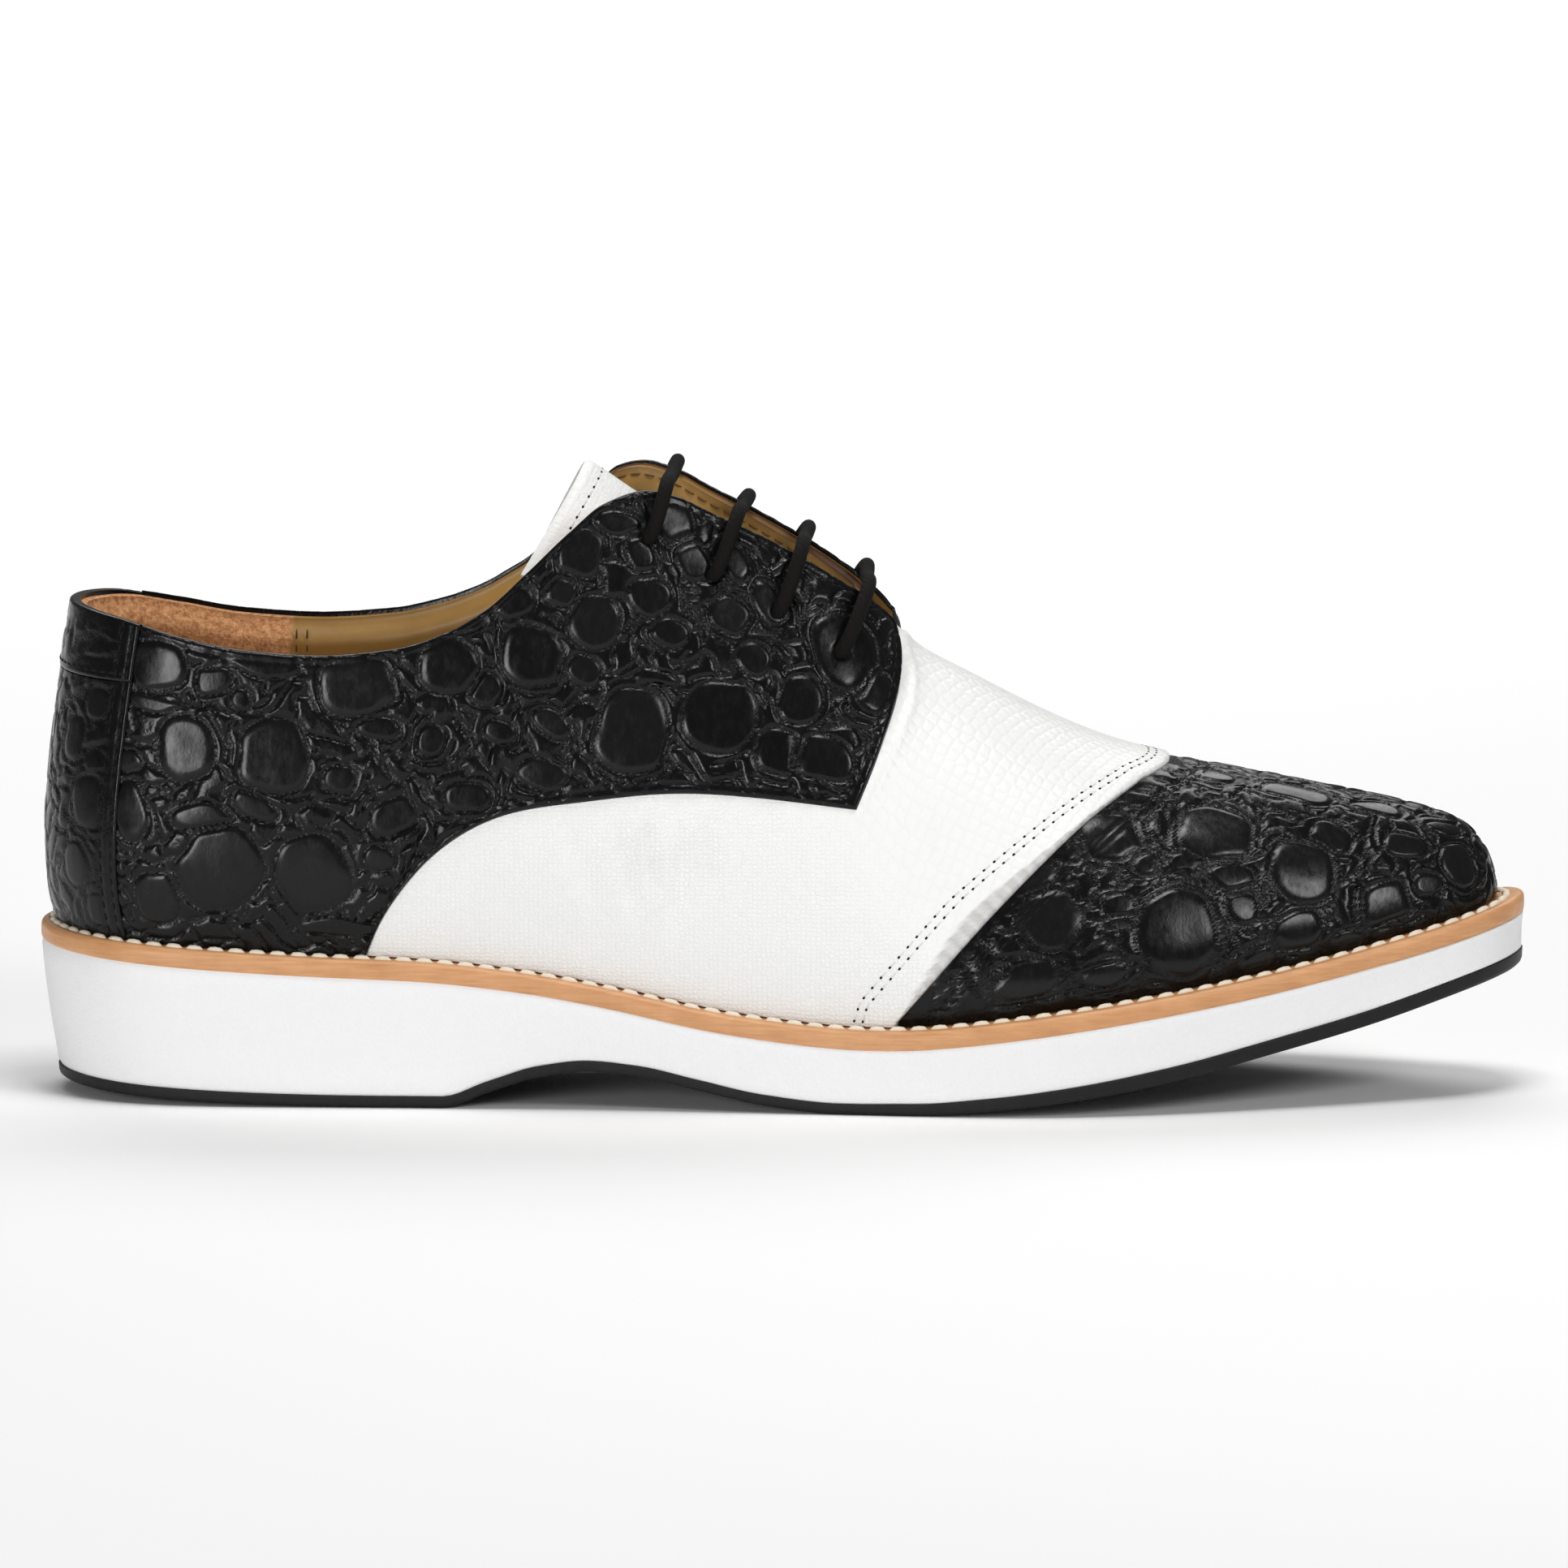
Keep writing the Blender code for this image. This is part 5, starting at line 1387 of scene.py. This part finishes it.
def from_line(grid, line):
    """Distance of each grid point from a line, and how far along the line its nearest point lies."""
    run = run_along(line)
    away, along = [], []
    for row in grid:
        gaps = np.linalg.norm(row[:, None] - line, axis=-1)
        away.append(gaps.min(axis=1))
        along.append(run[gaps.argmin(axis=1)])
    return np.array(away), np.array(along)


def build_vamp(material):
    crest_count = 28
    foot_share, front_share = spaced(FOOT_LENGTH, 0.8), spaced(FRONT_LENGTH, 0.75)
    across = spaced(VAMP_LENGTH, 0.75, high=True)[:, None]
    throat_angle = float(crest_angle(THROAT_FRONT_X + 0.4))
    halves = []
    for side in (LATERAL, MEDIAL):
        foot_x, foot_z = drawn(QUARTER_FOOT, foot_share, SEAM_SLIT)
        front_x, front_z = drawn(FACING_FRONT[:-1], front_share, SEAM_SLIT)
        xs, zs = np.append(foot_x[:-1], front_x), np.append(foot_z[:-1], front_z)
        xs[len(foot_x) - 1], zs[len(foot_x) - 1] = front_x[0], foot_z[-1]
        angle_a, girth_a = side_spot(xs, zs, side)
        girth_a[0] = welt_girth(side)
        angle_a, girth_a = round_to_crest(angle_a, girth_a, throat_angle, crest_count)
        seam_share = np.linspace(0, 1, len(angle_a) - crest_count)
        angle_b, girth_b = seam_spots(side, seam_share, crest_count, 0.0)
        halves.append((angle_a + (angle_b - angle_a) * across, girth_a + (girth_b - girth_a) * across))
    angle, girth = over_crest(halves)
    base, normal = surface(angle, girth)
    to_seam, from_quarter = reach(base, 0, backward=True), reach(base, 0)
    from_seam, along_seam = from_line(base, lengthened(base[-1], 12.0))
    half = angle.shape[1] // 2
    index = half - np.abs(half - np.arange(angle.shape[1]))
    corner = len(foot_share) - 1
    climb = np.clip((index - corner) / (len(front_share) - 1), 0, 1)
    ridge_at = RIDGE_LOW + (RIDGE_HIGH - RIDGE_LOW) * climb
    ridge = smooth_step(corner - 3, corner + 8, index)
    swell = SWELL - SWELL_LESS * smooth_step(*SWELL_Z, base[..., 2])
    level = VAMP_LEVEL + creased(base) + swell * bump_at(to_seam, 0.0, SWELL_WIDTH)
    level = level + rolled(to_seam, VAMP_ROLL)
    hollow_at = 0.45 * ridge_at
    level += ridge * RIDGE_RISE * bump_at(from_quarter, ridge_at, RIDGE_WIDTH)
    level -= ridge * HOLLOW_DEPTH * bump_at(from_quarter, hollow_at, hollow_at)
    behind = from_seam - np.interp(base[..., 2], (ROW_FAR_Z, ROW_NEAR_Z), (ROW_FAR, ROW_NEAR))
    for offset in ROW_PAIR:
        level -= pressed(behind, offset, VAMP_FURROW)
    outer, inner = skin(angle, girth, level, SKIN_FLOOR)
    fine = 1 - smooth_step(0, 1, (base[..., 0] - FINE_X) / FINE_RUN_X + (base[..., 2] - FINE_Z) / FINE_RUN_Z)
    up = WEAVE_GIRTH * np.minimum(girth, math.pi - girth)
    turn_x, turn_up = math.cos(WEAVE_TURN), math.sin(WEAVE_TURN)
    x = base[..., 0]
    weave = np.stack([turn_x * x - turn_up * up, turn_up * x + turn_x * up, 0 * up], axis=-1)
    grain = base[..., [0, 2, 1]] * np.array([1.0, 1.0, 0.0])
    # Grey band along the toe seam: the cut edge's own grey, with painted shade of the rolled edge in it.
    band = RIM_WIDTH * bump_at(base[..., 2], RIM_MIDDLE_Z, RIM_SPAN)
    streaks = 0.72 + 0.16 * np.sin(1.9 * along_seam) + 0.12 * np.sin(4.3 * along_seam + 1)
    rim = (1 - smooth_step(0.85, 1.0, from_seam / np.maximum(band, 0.05))) * streaks
    attributes = {"weave": weave, "grain": grain, "fine": fine, "rim": rim}
    vamp = panel("vamp_skin", outer, inner, material, attributes)
    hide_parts("vamp")
    return [row_at(outer, normal, behind, 0, offset) for offset in ROW_PAIR]


# Back of the heel

# Stitch rows of the strip from its sides, and of the tab from its foot
STRIP_ROWS = (1.2, 3.6)
TAB_ROW = 1.6
BACK_STEP, BACK_ROLL = 0.45, 0.7


def build_back(plates, material):
    """Strip and tab that wrap the back of the heel."""
    edge = strip_edge()
    angles = -edge + 2 * edge * spaced(STRIP_WIDTH, BACK_STEP, low=True, high=True)
    top = top_girth(np.abs(angles), LATERAL)
    foot_spot = side_spot(np.full(1, TAB_FOOT_X), np.full(1, TAB_FOOT_Z), LATERAL)
    tab_foot = np.full(len(angles), float(foot_spot[1][0]))
    rows = []
    for name, low, high, length, level, ends in (
        ("back_strip", 0 * top, tab_foot - HAIR, STRIP_HEIGHT, STRIP_LEVEL, (False, False)),
        ("heel_tab", tab_foot, top, TAB_HEIGHT, TAB_LEVEL, (True, True)),
    ):
        share = spaced(length, BACK_STEP, *ends)
        girth = low[:, None] + (high - low)[:, None] * share
        angle = np.repeat(angles[:, None], len(share), axis=1)
        base, normal = surface(angle, girth)
        side_away = reach(base, 0), reach(base, 0, backward=True)
        from_foot, to_top = reach(base, 1), reach(base, 1, backward=True)
        to_side, to_end = np.minimum(*side_away), np.full(angle.shape, FAR)
        if name == "heel_tab":
            to_end = np.minimum(from_foot, to_top)
        height, plate, groove, tone = embossing(base, normal, plates, 61)
        near = np.minimum(to_side, to_end)
        calm = smooth_step(2.5, 5.5, near)
        out = level + rolled(near, BACK_ROLL) + (height - RELIEF_MIDDLE) * (0.1 + 0.45 * calm)
        for offset in STRIP_ROWS:
            out -= pressed(to_side, offset, STRIP_FURROW)
        rise = thinned(to_top) if name == "heel_tab" else 0.0
        outer, inner = skin(angle, girth, out, SKIN_FLOOR + rise)
        attributes = {"plate": plate * calm, "groove": groove * calm, "tone": tone}
        piece = panel(name + "_skin", outer, inner, material, attributes)
        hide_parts(name)
        rows += [row_at(outer, normal, away, 0, offset) for away in side_away for offset in STRIP_ROWS]
        if name == "heel_tab":
            rows.append(row_at(outer, normal, from_foot, 1, TAB_ROW))
    return rows


# Lining and tongue

HEEL_COLUMNS, LEG_ROWS, THROAT_ROWS, FRONT_COLUMNS = 150, 48, 30, 60
HEEL_PATCH_X = -101.0
PATCH_THICKNESS = 0.25
PATCH_ROWS, PATCH_SEAM_Z = (1.2, 3.4), (92.0, 45.0)
# Dark edge of the lining along the facings: full and no colour at these depths below the top line
BURNT_DEPTH = (0.45, 0.95)
FACING_DROP, COLLAR_DROP = 0.55, 0.95
# How far the tongue's end turns up at its middle, and moves at its two corners
TONGUE_FLARE = 1.7
TONGUE_ROW, TONGUE_ROLL, TONGUE_FINE = 4.0, 0.8, 0.35
TONGUE_CORNER = {LATERAL: (-1.6, 0.0, -2.4), MEDIAL: (2.4, 0.0, -1.8)}
FACING_ROW = 1.9
RIM_SLOPE = 1.3


def heel_patch(x):
    """1 on the suede patch round the heel, 0 in front of it."""
    return 1 - smooth_step(HEEL_PATCH_X - 0.3, HEEL_PATCH_X + 0.3, x)


def lining_grids():
    """(angle, girth) grids of the lining: both sides back to the throat, and the whole front."""
    throat_angle = float(crest_angle(THROAT_FRONT_X))
    legs = []
    for side in (LATERAL, MEDIAL):
        foot = welt_girth(side)
        angles = throat_angle * np.linspace(0, 1, HEEL_COLUMNS) ** 1.15
        edge_x = lasted(angles, top_girth(angles, side))[:, 0]
        collar = 1 - smooth_step(FACING_BACK_X - 6, FACING_BACK_X, edge_x)
        drop = FACING_DROP + (COLLAR_DROP - FACING_DROP) * collar
        tops = top_girth(angles, side, drop[:, None])
        shares = 1 - (1 - np.linspace(0, 1, LEG_ROWS + 1)) ** 1.25
        girths = foot + (tops - foot)[:, None] * shares
        legs.append((np.repeat(angles[:, None], LEG_ROWS + 1, axis=1), girths))
    ends = [girth[-1] for _, girth in legs]
    throat = np.linspace(ends[0][-1], ends[1][-1], THROAT_ROWS + 1)[1:-1]
    rear = np.concatenate([ends[0], throat, ends[1][::-1]])
    even = np.linspace(0, math.pi, len(rear))
    blend = np.linspace(0, 1, FRONT_COLUMNS + 1) ** 1.2
    angles = throat_angle + (math.pi - throat_angle) * blend
    girths = rear + (even - rear) * np.minimum(blend * 1.6, 1)[:, None]
    return *legs, (np.repeat(angles[:, None], len(rear), axis=1), girths)


def build_lining(material):
    """Lining wall of the whole shoe, open at the collar, the throat and underneath."""
    grids = []
    for angle, girth in lining_grids():
        base = lasted(angle, girth)
        lift, rim = 0 * angle, 0 * angle
        if base[0, 0, 0] < 0:
            share = np.linspace(0, 1, angle.shape[1])
            fade = 1 - smooth_step(0.98, 1.0, np.linspace(0, 1, HEEL_COLUMNS))[:, None]
            lift = fade * facing_lift(base[..., 0], np.broadcast_to(share, angle.shape))
            rim = fade * thinned(reach(base, 1, backward=True))
        wall = UPPER_LEVEL - UPPER_WALL + RIM_SLOPE * rim
        wall = wall - PATCH_THICKNESS * heel_patch(base[..., 0]) + 0.04 * waves(base, 9.0, 5)
        grids.append((leather(angle, girth, UPPER_LEVEL + lift + rim), leather(angle, girth, wall + lift)))
    mirrored = grids[1][0][:, ::-1], grids[1][1][:, ::-1]
    points, faces = walled([grids[0], mirrored, grids[2]])
    points = np.array(points)
    x = points[:, 0]
    rises = np.where(points[:, 1] < centre_y(x), side_rise(x, LATERAL), side_rise(x, MEDIAL))
    burnt = 1 - smooth_step(*BURNT_DEPTH, top_line(x) + rises - points[:, 2])
    burnt *= (x > FACING_BACK_X) & (x < THROAT_FRONT_X)
    lining = finish_mesh("lining", points, faces, material, {"suede": heel_patch(x), "burnt": burnt})
    punch(lining)
    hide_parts("upper")


def lining_rows():
    """Stitch rows seen on the lining: below the facings' edges, and the seam of the heel patch."""
    facing, patch = [], []
    inside, count = UPPER_LEVEL - UPPER_WALL, 60
    for side in (LATERAL, MEDIAL):
        xs, zs = along_top(side, np.linspace(0.55, 0.985, 160))
        angle, girth = side_spot(xs, zs - FACING_ROW, side)
        lift = facing_lift(xs, np.full(len(xs), 0.95)) + RIM_SLOPE * thinned(np.float64(FACING_ROW))
        facing.append((leather(angle, girth, inside + lift), -outward(angle, girth)))
        for offset in PATCH_ROWS:
            x = HEEL_PATCH_X + offset
            z = np.linspace(*PATCH_SEAM_Z, count) + side_rise(x, side)
            angle, girth = side_spot(np.full(count, x), z, side)
            patch.append((leather(angle, girth, np.full(count, inside)), -outward(angle, girth)))
    return facing + patch


def build_tongue(material):
    """Arched sheet under the facings, standing out behind them."""
    rows, columns = 96, 64
    run = -column(TONGUE, "x")
    along = np.linspace(run[0], run[-1], rows + 1)
    z, edge_x, edge_z = (smooth_line(run, column(TONGUE, name))(along) for name in ("z", "edge_x", "edge_z"))
    depth = UPPER_WALL - UPPER_LEVEL + TONGUE_CLEARANCE
    crest = np.stack([-along, centre_y(-along), z], axis=-1)
    edges = {}
    for side in (LATERAL, MEDIAL):
        edges[side] = leather(*side_spot(edge_x, edge_z, side), -depth + 0 * along)
    outer = []
    along_share = np.linspace(0, 1, rows + 1)[:, None]
    crest[:, 2:] += TONGUE_FLARE * smooth_step(0.85, 1.0, along_share)
    for share in np.linspace(-1, 1, columns + 1):
        side = MEDIAL if share > 0 else LATERAL
        away = edges[side] - crest
        corner = share**2 * np.array(TONGUE_CORNER[side]) * smooth_step(0.55, 1.0, along_share)
        outer.append(crest + away * np.array([share**2, abs(share), share**2]) + corner)
    outer = np.stack(outer, axis=1)
    normal = unit(np.cross(np.gradient(outer, axis=1), np.gradient(outer, axis=0)))
    normal *= np.sign(normal[..., 2:])
    to_end = reach(outer, 0, backward=True)
    to_side = np.minimum(reach(outer, 1), reach(outer, 1, backward=True))
    edge = np.minimum(to_end, to_side)
    top = outer + normal * (rolled(edge, TONGUE_ROLL) - pressed(to_end, TONGUE_ROW, TONGUE_FURROW))[..., None]
    inner = (outer - TONGUE_THICKNESS * normal)[::COARSE, ::COARSE]
    weave = np.stack([reach(outer, 1), to_end, 0 * to_end], axis=-1)
    attributes = {"weave": weave, "grain": weave, "fine": 0 * to_end + TONGUE_FINE}
    tongue = panel("tongue_skin", top, inner, material, attributes)
    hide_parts("tongue")
    return [row_at(top, normal, to_end, 0, TONGUE_ROW, to_side > STITCH_IN)]


# Laces

LACE_RADIUS = 1.5
# Under the facings the lace lies at this level and is pressed flat
HIDDEN_LEVEL = -4.6
PRESSED_THINNER, PRESSED_WIDER = 0.55, 0.2
# How far each bar slants forward where it crosses the medial facing's edge
BAR_SLIDE = (1.4, 2.8, 2.2, 0.8)
# The same at the lateral facing, as a share
LATERAL_SLIDE = 0.35
# Heights of the lace's points in an eyelet, and how it turns over on to the facing
EYE_STEPS = (-2.4, -0.6, 2.0)
OVER_STEP, OVER_RISE = 2.2, 0.5


def lace_path():
    """Points of the one lace: four bars over the throat, joined by flat runs under the facings."""
    eyes = {(side, row): (angle, girth) for side, row, angle, girth in EYELET_SPOTS}
    along_facing = np.array([0.85, 0.0, -0.53])

    def half_bar(side, row):
        angle, girth = eyes[side, row]
        eye, normal = surface(angle, girth)
        head = float(top_girth(angle, side)[0])
        lift = float(facing_lift(EYELETS[row].x, 1.0))
        rest = QUARTER_LEVEL + LACE_RADIUS
        slide = BAR_SLIDE[row] * (1.0 if side == MEDIAL else LATERAL_SLIDE)
        edge = lasted(angle, head) + outward(angle, head) * (rest + lift + GAP) + slide * along_facing
        toward = unit(edge - eye)
        over = eye + normal * (rest + 0.5 * lift + OVER_RISE)
        return [*(eye + height * normal for height in EYE_STEPS), over + OVER_STEP * toward, edge]

    def bar(row, start):
        first, last = half_bar(start, row), half_bar(-start, row)
        return [*first, (first[-1] + last[-1]) / 2, *last[::-1]]

    def hidden(side, row_from, row_to):
        a, b = np.array(eyes[side, row_from]), np.array(eyes[side, row_to])
        rows = abs(row_to - row_from)
        shares = 0.1 / rows + (1 - 0.2 / rows) * np.linspace(0, 1, 3 + 3 * rows)
        spots = a + (b - a) * shares[:, None]
        return list(leather(spots[:, 0], spots[:, 1], np.full(len(spots), HIDDEN_LEVEL)))

    tail = hidden(LATERAL, 1, 0)[:-1]
    bars = bar(0, LATERAL), bar(2, MEDIAL), bar(3, LATERAL), bar(1, MEDIAL)
    under = hidden(MEDIAL, 0, 2), hidden(LATERAL, 2, 3), hidden(MEDIAL, 3, 1), tail
    legs = [leg for pair in zip(bars, under) for leg in pair]
    flat = [float(k % 2) for k, leg in enumerate(legs) for _ in leg]
    return np.array([p for leg in legs for p in leg]), np.array(flat)


def build_lace(material):
    points, flat = lace_path()
    run = np.concatenate([[0], np.cumsum(np.linalg.norm(np.diff(points, axis=0), axis=1) ** 0.5)])
    along = np.linspace(0, run[-1], 1100)
    path = np.stack([smooth_line(run, points[:, k])(along) for k in range(3)], axis=-1)
    press = np.interp(along, run, flat)
    tangent = unit(np.gradient(path, axis=0))
    first = np.array([-0.85, 0.0, 0.52])
    frames = []
    for way in tangent:
        first = unit(first - way * (first @ way))
        frames.append(first)
    first = np.array(frames)
    second = np.cross(tangent, first)
    turns = around(24)
    thick = LACE_RADIUS * (1 - PRESSED_THINNER * press)[:, None, None]
    broad = LACE_RADIUS * (1 + PRESSED_WIDER * press)[:, None, None]
    rings = path[:, None] + thick * np.cos(turns)[None, :, None] * first[:, None]
    rings = rings + broad * np.sin(turns)[None, :, None] * second[:, None]
    length = run_along(path)
    body, faces = lofted(rings)
    strand = length[:, None] * 0.35, turns[None] * 3 / (2 * math.pi), 0.0
    braid = np.stack(np.broadcast_arrays(*strand), axis=-1)
    lace = finish_mesh("lace", body, faces, material, {"braid": braid.reshape(-1, 3)}, SHARP_THREAD)
    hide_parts(*(f"lace_bar_{row + 1}" for row in range(len(EYELETS))))
    return length[-1]


# Sole

# Stitch channel of the welt: its distance from the upper, and its section
WELT_ROW, WELT_FURROW = 2.4, Furrow(0.35, 0.5)
# The heel's tread curves up at the back, and the band of rubber seen on the side is thicker at heel and toe
HEEL_RISE = 2.8
HEEL_RISE_X = -80.0
BAND_X = (-60.0, -30.0, 16.0, 36.0, 76.0)
BAND_MORE = (0.35, 0.1, 0.15, 0.6, 1.0)
# Slit above and below the wedge
SOLE_SLIT = 0.02


def arc(centre, radius, start, end, count):
    """Points of a rounded corner: (inset, height) pairs."""
    turns = np.radians(np.linspace(start, end, count))
    return [(centre[0] + radius * math.cos(t), centre[1] + radius * math.sin(t)) for t in turns]


def build_welt(material):
    """Leather strip all round, with a rounded edge and a shallow stitch channel."""
    stations, soft = 260, 1.5
    turns = [(a, LATERAL) for a in np.linspace(0, math.pi, stations)]
    turns += [(a, MEDIAL) for a in np.linspace(math.pi, 0, stations)[1:-1]]
    rings = []
    for angle, side in turns:
        channel = float(margin(angle)) - WELT_ROW
        profile = [(0.35, 0.0), (0.08, 0.35), (0.0, 0.9), (0.0, WELT_THICKNESS - soft)]
        profile += arc((soft, WELT_THICKNESS - soft), soft, 170, 90, 6)
        for aside in (-0.9, -0.5, -0.2, 0.1, 0.4, 0.9):
            profile.append((channel + aside, WELT_THICKNESS - pressed(aside, 0, WELT_FURROW)))
        profile += [(WELT_WIDTH, WELT_THICKNESS), (WELT_WIDTH, 0.0)]
        ring = []
        for inset, up in profile:
            x, y = inset_edge(angle, side, inset)
            ring.append((float(x), float(y), float(welt_z(x)) + up))
        rings.append(ring)
    welt = finish_mesh("welt_strip", *lofted(rings, closed=True), material)
    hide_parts("welt")


def welt_row():
    """Line of the welt stitches, all round the shoe."""
    path = []
    for side, angles in ((LATERAL, np.linspace(0, math.pi, 500)), (MEDIAL, np.linspace(math.pi, 0, 500)[1:])):
        x, y = inset_edge(angles, side, margin(angles) - WELT_ROW)
        path.append(np.stack([x, y, welt_z(x) + WELT_THICKNESS], axis=-1))
    path = np.concatenate(path)
    return path, np.broadcast_to(np.array([0.0, 0.0, 1.0]), path.shape)


def sole_rings(angles, steps):
    """Rings of points across the sole: lateral side going up, then medial side coming down."""
    rings = []
    for angle in angles:
        ring = []
        for side, order in ((LATERAL, steps), (MEDIAL, steps[::-1])):
            edge_x = welt_edge(angle, side)[0]
            for inset, height in order:
                x, y = inset_edge(angle, side, inset(angle, edge_x))
                ring.append((float(x), float(y), float(height(x))))
        rings.append(ring)
    return rings


def raised(line, more):
    return lambda x: line(x) + more


def beyond_lean(more):
    """Inset of the sole's side at the tread, and that much further in."""
    return lambda angle, x: lean_in(x) + more


def inside_lining(more):
    return lambda angle, x: margin(angle) - UPPER_LEVEL + UPPER_WALL + 0.4 + more


def fixed(inset):
    return lambda angle, x: inset


def ground(x):
    """Underside of the tread."""
    back = np.clip((HEEL_RISE_X - x) / (SOLE_LENGTH / 2 + HEEL_RISE_X), 0, 1)
    return tread_z(x) + HEEL_RISE * back**2


def tread_top(x):
    return ground(x) + OUTSOLE_THICKNESS + np.interp(x, BAND_X, BAND_MORE)


def wedge_side(share):
    """One step up the side of the wedge, which leans in and is slightly hollow in front."""
    bottom, top = raised(tread_top, SOLE_SLIT), raised(welt_z, -SOLE_SLIT)

    def inset(angle, x):
        hollow = (1 - share) * share * smooth_step(-40, 40, x)
        return lean_in(x) * (1 - share) ** 1.4 + 0.15 + hollow

    return inset, lambda x: bottom(x) + share * (top(x) - bottom(x))


def build_sole(foam_look, rubber_look, leather_look):
    """Foam wedge, thin tread and footbed. Each step is an inset from the welt's edge and a height."""
    angles = np.linspace(0.006, math.pi - 0.006, 260)
    bottom, top = raised(tread_top, SOLE_SLIT), raised(welt_z, -SOLE_SLIT)
    inner = fixed(WELT_WIDTH + GAP)
    steps = [(beyond_lean(8.0), bottom), (beyond_lean(0.5), bottom)]
    steps += [wedge_side(share) for share in (0.03, 0.12, 0.25, 0.4, 0.55, 0.7, 0.85, 0.96)]
    steps += [(fixed(0.5), top), (inner, top), (inner, raised(welt_z, WELT_THICKNESS))]
    wedge = finish_mesh("wedge", *lofted(sole_rings(angles, steps)), foam_look)
    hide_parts("midsole")

    steps = [
        (beyond_lean(9.0), ground),
        (beyond_lean(1.6), ground),
        (beyond_lean(0.8), raised(ground, 0.15)),
        (beyond_lean(0.3), raised(ground, 0.5)),
        (beyond_lean(0.05), raised(ground, 1.1)),
        (beyond_lean(-0.05), raised(tread_top, -0.2)),
        (beyond_lean(0.2), tread_top),
    ]
    tread = finish_mesh("tread", *lofted(sole_rings(angles, steps)), rubber_look)
    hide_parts("outsole")

    steps = [
        (inside_lining(0.5), feather_z),
        (inside_lining(0.0), raised(feather_z, 1.2)),
        (inside_lining(0.3), raised(feather_z, 2.4)),
        (inside_lining(1.2), raised(feather_z, INSOLE_THICKNESS)),
        (inside_lining(9.0), raised(feather_z, INSOLE_THICKNESS - 0.5)),
    ]
    points, faces = lofted(sole_rings(np.linspace(0.05, math.pi - 0.05, 160), steps))
    footbed = finish_mesh("footbed", points, faces, leather_look, {"suede": np.zeros(len(points))})
    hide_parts("insole")


# Studio

# Places are in metres
LIGHTS = rows_of(
    "name place size power",
    ("top", (0.1, -0.2, 1.25), 0.42, 7.4),
    ("far_floor", (0.0, 1.45, 1.25), 1.4, 20.0),
    ("front_left", (-0.78, -1.42, 0.23), 0.55, 11.0),
    ("front_right", (0.95, -0.95, 0.8), 0.4, 5.8),
)
CAMERA_SPAN = 0.322
CAMERA_AIM = (0.00025, 0.0, 0.0623)
CAMERA_RISE = math.radians(8.5)
CAMERA_DISTANCE = 3.0
WORLD_STRENGTH = 0.15


def build_studio():
    """Pale floor, soft lights and the camera."""
    mesh = bpy.data.meshes.new("floor")
    half = 6.0
    corners = [(-half, -half, 0), (half, -half, 0), (half, half, 0), (-half, half, 0)]
    mesh.from_pydata(corners, [], [(0, 1, 2, 3)])
    floor = placed("floor", mesh)
    mesh.materials.append(new_look("pale_floor", (0.97, 0.97, 0.97), 0.9)[0])

    for light in LIGHTS:
        data = bpy.data.lights.new(light.name, "AREA")
        data.shape = "SQUARE"
        data.size = light.size
        data.energy = light.power
        lamp = placed(light.name, data)
        lamp.location = light.place
        aim = np.array([0.0, max(light.place[1], 0.0), 0.05]) - np.array(light.place)
        lamp.rotation_euler = Vector(aim).to_track_quat("-Z", "Y").to_euler()

    world = bpy.data.worlds.new("studio")
    world.use_nodes = True
    background = world.node_tree.nodes["Background"]
    background.inputs["Color"].default_value = (1, 1, 1, 1)
    background.inputs["Strength"].default_value = WORLD_STRENGTH
    bpy.context.scene.world = world

    camera = bpy.data.cameras.new("camera")
    camera.type = "ORTHO"
    camera.ortho_scale = CAMERA_SPAN
    camera.clip_end = 20.0
    eye = placed("camera", camera)
    back = Vector((0.0, -math.cos(CAMERA_RISE), math.sin(CAMERA_RISE)))
    eye.location = Vector(CAMERA_AIM) + back * CAMERA_DISTANCE
    eye.rotation_euler = (-back).to_track_quat("-Z", "Y").to_euler()
    bpy.context.scene.camera = eye
    bpy.context.scene.view_settings.view_transform = "Standard"


EYELET_SPOTS = eyelet_spots()


def main():
    black, white, lining = scaled_leather(), white_leather(), lining_leather()
    thread_looks = {look.name: thread_look(*look) for look in THREAD_LOOKS}
    build_studio()
    length = build_lace(cord_look())
    print("lace length mm", round(float(length)))
    build_sole(foam(), rubber(), lining)
    build_welt(welt_leather())
    build_lining(lining)
    tongue_rows = build_tongue(white)
    plates = charted(QUARTER_SCALES, LATERAL)
    black_rows = build_quarter("quarter_lateral", LATERAL, plates, 11, black, lining)
    plates = charted(QUARTER_SCALES, MEDIAL, (3.0, -1.5))
    black_rows += build_quarter("quarter_medial", MEDIAL, plates, 23, black, lining)
    plates = joined(charted(TOE_SCALES, LATERAL), charted(TOE_SCALES, MEDIAL, (4.0, -1.0)))
    black_rows += build_toe_cap(plates, black)
    plates = joined(charted(STRIP_SCALES, LATERAL), charted(STRIP_SCALES, MEDIAL, (0.0, -4.0)))
    black_rows += build_back(plates, black)
    white_rows = build_vamp(white) + tongue_rows
    # The second white_rows carry the small black pieces of painted shade in the needle holes.
    sewn = black_rows, white_rows, white_rows, lining_rows(), [welt_row()]
    for thread, rows in zip(THREADS, sewn):
        stitches(thread, rows, thread_looks[thread.look])


main()
